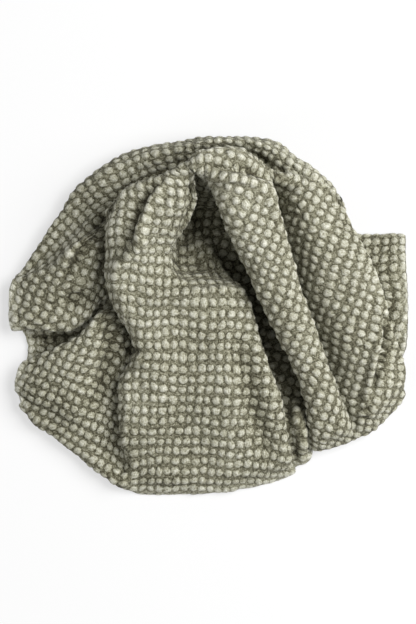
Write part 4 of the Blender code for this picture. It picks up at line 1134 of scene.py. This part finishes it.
def waffle_cotton():
    """Matte cotton of melange yarns: light pads, each with a dark groove round it, low weave of
    middle tone where four pads meet, and painted shade in the folds.  The pads' light middles and
    the grooves' dark are partly the yarns' own colour and partly painted shading; cloth lying
    higher is painted lighter and cloth near the floor darker, and the edge and rim are painted
    lighter.  Flecks, dark and light, and fine ribs run along the yarns."""
    material = bpy.data.materials.new("waffle_cotton")
    board = Board(material)
    weave = board.node("ShaderNodeUVMap", {"uv_map": "weave"})
    u, v = board.split(weave)[:2]
    # fold, the third part of the radii attribute, is painted shading: painted shade in the troughs,
    # painted light at the edge and rim
    shift_across, shift_down, own, wide, tall, fold = (
        part for name in ("pad", "radii") for part in
        board.split(board.node("ShaderNodeAttribute", {"attribute_name": name}, output=1)))
    place = board.node("ShaderNodeTexCoord", {}, output=3)

    # Fine unevenness of the yarns, which also wobbles the outline of every pad.
    fine = board.noise(board.vector(u, v), scale=7.0, detail=3.0, roughness=0.65)
    wobble = board.noise(board.vector(u, v, 5.0), scale=3.2, detail=1.0)
    down = board.maths("ABSOLUTE", board.maths("SINE", v * np.pi))
    inside_across, inside_down = board.maths("FRACT", u) - 0.5, board.maths("FRACT", v) - 0.5

    def away_from(across, down):
        """The squared distance, in radii, with a wobble."""
        return across * across + down * down + (wobble - 0.5) * 1.1

    def neck_between(inside, beside, radius):
        """A low dome in the gap between two pads, where the gap is wide."""
        gap = 0.5 - radius
        edge = (0.5 - board.maths("ABSOLUTE", inside)) / (gap + NECK_OVERLAP)
        dome = board.clamped(1.0 - away_from(edge, beside / NECK_HALF)) ** 0.5
        return dome * board.smooth(gap, *NECK_GAPS)

    away = away_from((inside_across - shift_across) / wide, (inside_down - shift_down) / tall)
    dome = board.clamped(1.0 - away) ** 0.5
    groove = board.smooth(away, 0.65, 1.12) * (1.0 - 0.50 * board.smooth(away, 1.30, 2.1))
    neck = board.maths("MAXIMUM", neck_between(inside_across, inside_down, wide),
                       neck_between(inside_down, inside_across, tall))

    along_pads = board.noise(board.vector(u * 11.0, v * 3.0), detail=3.0, roughness=0.6)
    along_necks = board.noise(board.vector(u * 3.0, v * 11.0, 7.0), detail=3.0, roughness=0.6)
    yarns = along_necks + (along_pads - along_necks) * board.smooth(down, 0.35, 0.75)
    patches = board.noise(place, scale=14.0, detail=3.0)

    spots = board.noise(board.vector(u, v, 9.0), scale=3.2, detail=2.0, roughness=0.6)
    # painted shade: cloth lying within 3 cm of the floor is made darker
    low = 1.0 - board.smooth(board.split(place)[2], 0.005, 0.030)
    # pads and necks lighter towards their middles: partly the lighter float yarns, partly painted
    # shading of their domes
    pad = (0.5 * board.smooth(dome, 0.0, 0.7) + 1.5 * dome * dome) * (0.03 + 0.11 * own)
    lump = board.maths("MAXIMUM", pad, board.smooth(neck, 0.0, 0.8) * 0.18)
    # groove darkens the colour round each pad, partly the darker ground weave and partly painted
    # shade in the grooves; fold adds painted shade and painted light; the height term paints cloth
    # lighter the higher it lies, standing in for a near lamp's falloff; low paints shade near the
    # floor
    tone = (0.29 + lump - 0.16 * groove - 0.03 * low - 0.30 * fold + 0.9 * board.split(place)[2]
            + 0.75 * (spots - 0.5) + 0.95 * (fine - 0.5) + 0.45 * (yarns - 0.5)
            + 0.25 * (patches - 0.5))
    colour = board.node("ShaderNodeValToRGB", {"stops": TONES}, {0: tone})

    fuzz = board.noise(place, scale=1400.0, detail=2.0)
    rise = lump * 4.6 + yarns * 1.2 + fine * 2.0 + spots * 1.6 + fuzz * 0.12
    bump = board.node("ShaderNodeBump", {}, {"Strength": 0.8, "Distance": 0.0012, "Height": rise})
    shader = board.node("ShaderNodeBsdfPrincipled", {}, {
        "Base Color": colour, "Roughness": 0.93, "Specular IOR Level": 0.22, "Normal": bump,
        "Sheen Weight": 0.10, "Sheen Roughness": 0.5, "Sheen Tint": (0.95, 0.95, 0.88, 1)})
    board.node("ShaderNodeOutputMaterial", {}, {"Surface": shader})
    return material


def blanket():
    """The cloth as an object, with its weave coordinates and what the material reads."""
    vertices, faces, coordinates, pads, radii = cloth_mesh()
    vertices = vertices + (SLIDE[0], SLIDE[1], 0.0)
    mesh = bpy.data.meshes.new("waffle_blanket")
    mesh.from_pydata(vertices.tolist(), [], faces)
    mesh.uv_layers.new(name="weave").data.foreach_set("uv", coordinates.astype(np.float32).ravel())
    # the third part of the radii attribute is the painted shading from cloth_mesh, not a radius
    for name, values in (("pad", pads), ("radii", radii)):
        attribute = mesh.attributes.new(name, "FLOAT_VECTOR", "POINT")
        attribute.data.foreach_set("vector", values.astype(np.float32).ravel())
    mesh.polygons.foreach_set("use_smooth", np.ones(len(mesh.polygons), dtype=bool))
    mesh.update()
    piece = bpy.data.objects.new("waffle_blanket", mesh)
    bpy.context.collection.objects.link(piece)
    mesh.materials.append(waffle_cotton())
    return piece


# ---------------------------------------------------------------- floor, light and camera
FLOOR_HALF = 6.0         # half the floor's side
FLOOR_DROP = 0.0004      # the floor lies this far below the cloth
AMBIENT = 0.245          # strength of the light from all round
LAMPS = [                # name, watts, width and place
    ("softbox", 455.0, 3.6, (3.2, 1.1, 3.6)),
    ("fill", 70.0, 2.8, (-3.4, -2.4, 2.4)),
]
CAMERA_HEIGHT = 4.0
CAMERA_BACK = 0.0056     # behind the middle of the heap
VIEW_HEIGHT = 0.8736     # of floor, from the front to the back of the view
SENSOR = 24.0            # height of the camera's sensor, in millimetres


def studio():
    """A wide pale floor that glows softly like a light table, dim light from all round, a
    large soft lamp with a weak one opposite, and the camera straight above."""
    mesh = bpy.data.meshes.new("floor")
    corners = (-1, -1), (1, -1), (1, 1), (-1, 1)
    mesh.from_pydata([(x * FLOOR_HALF, y * FLOOR_HALF, -FLOOR_DROP) for x, y in corners],
                     [], [(0, 1, 2, 3)])
    floor = bpy.data.objects.new("floor", mesh)
    bpy.context.collection.objects.link(floor)
    paper = bpy.data.materials.new("floor_paper")
    board = Board(paper)
    shader = board.node("ShaderNodeBsdfPrincipled", {}, {
        "Base Color": (0.26, 0.26, 0.26, 1), "Roughness": 0.9, "Specular IOR Level": 0.1,
        "Emission Color": (1, 1, 1, 1), "Emission Strength": 0.60})
    board.node("ShaderNodeOutputMaterial", {}, {"Surface": shader})
    mesh.materials.append(paper)

    world = bpy.data.worlds.new("studio")
    bpy.context.scene.world = world
    world.use_nodes = True
    glow = world.node_tree.nodes["Background"].inputs
    glow["Color"].default_value, glow["Strength"].default_value = (1, 1, 1, 1), AMBIENT

    for name, energy, size, location in LAMPS:
        lamp = bpy.data.objects.new(name, bpy.data.lights.new(name, "AREA"))
        lamp.data.energy, lamp.data.size, lamp.location = energy, size, location
        lamp.rotation_euler = (-Vector(location)).to_track_quat("-Z", "Y").to_euler()
        bpy.context.collection.objects.link(lamp)

    camera = bpy.data.objects.new("camera", bpy.data.cameras.new("camera"))
    camera.location = (SLIDE[0], SLIDE[1] + CAMERA_BACK, CAMERA_HEIGHT)
    camera.data.sensor_fit, camera.data.sensor_height = "VERTICAL", SENSOR
    camera.data.lens = SENSOR * CAMERA_HEIGHT / VIEW_HEIGHT
    bpy.context.collection.objects.link(camera)
    bpy.context.scene.camera = camera
    bpy.context.scene.view_settings.view_transform = "Standard"


cloth = blanket()
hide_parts("blanket")
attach(cloth, "root")
studio()
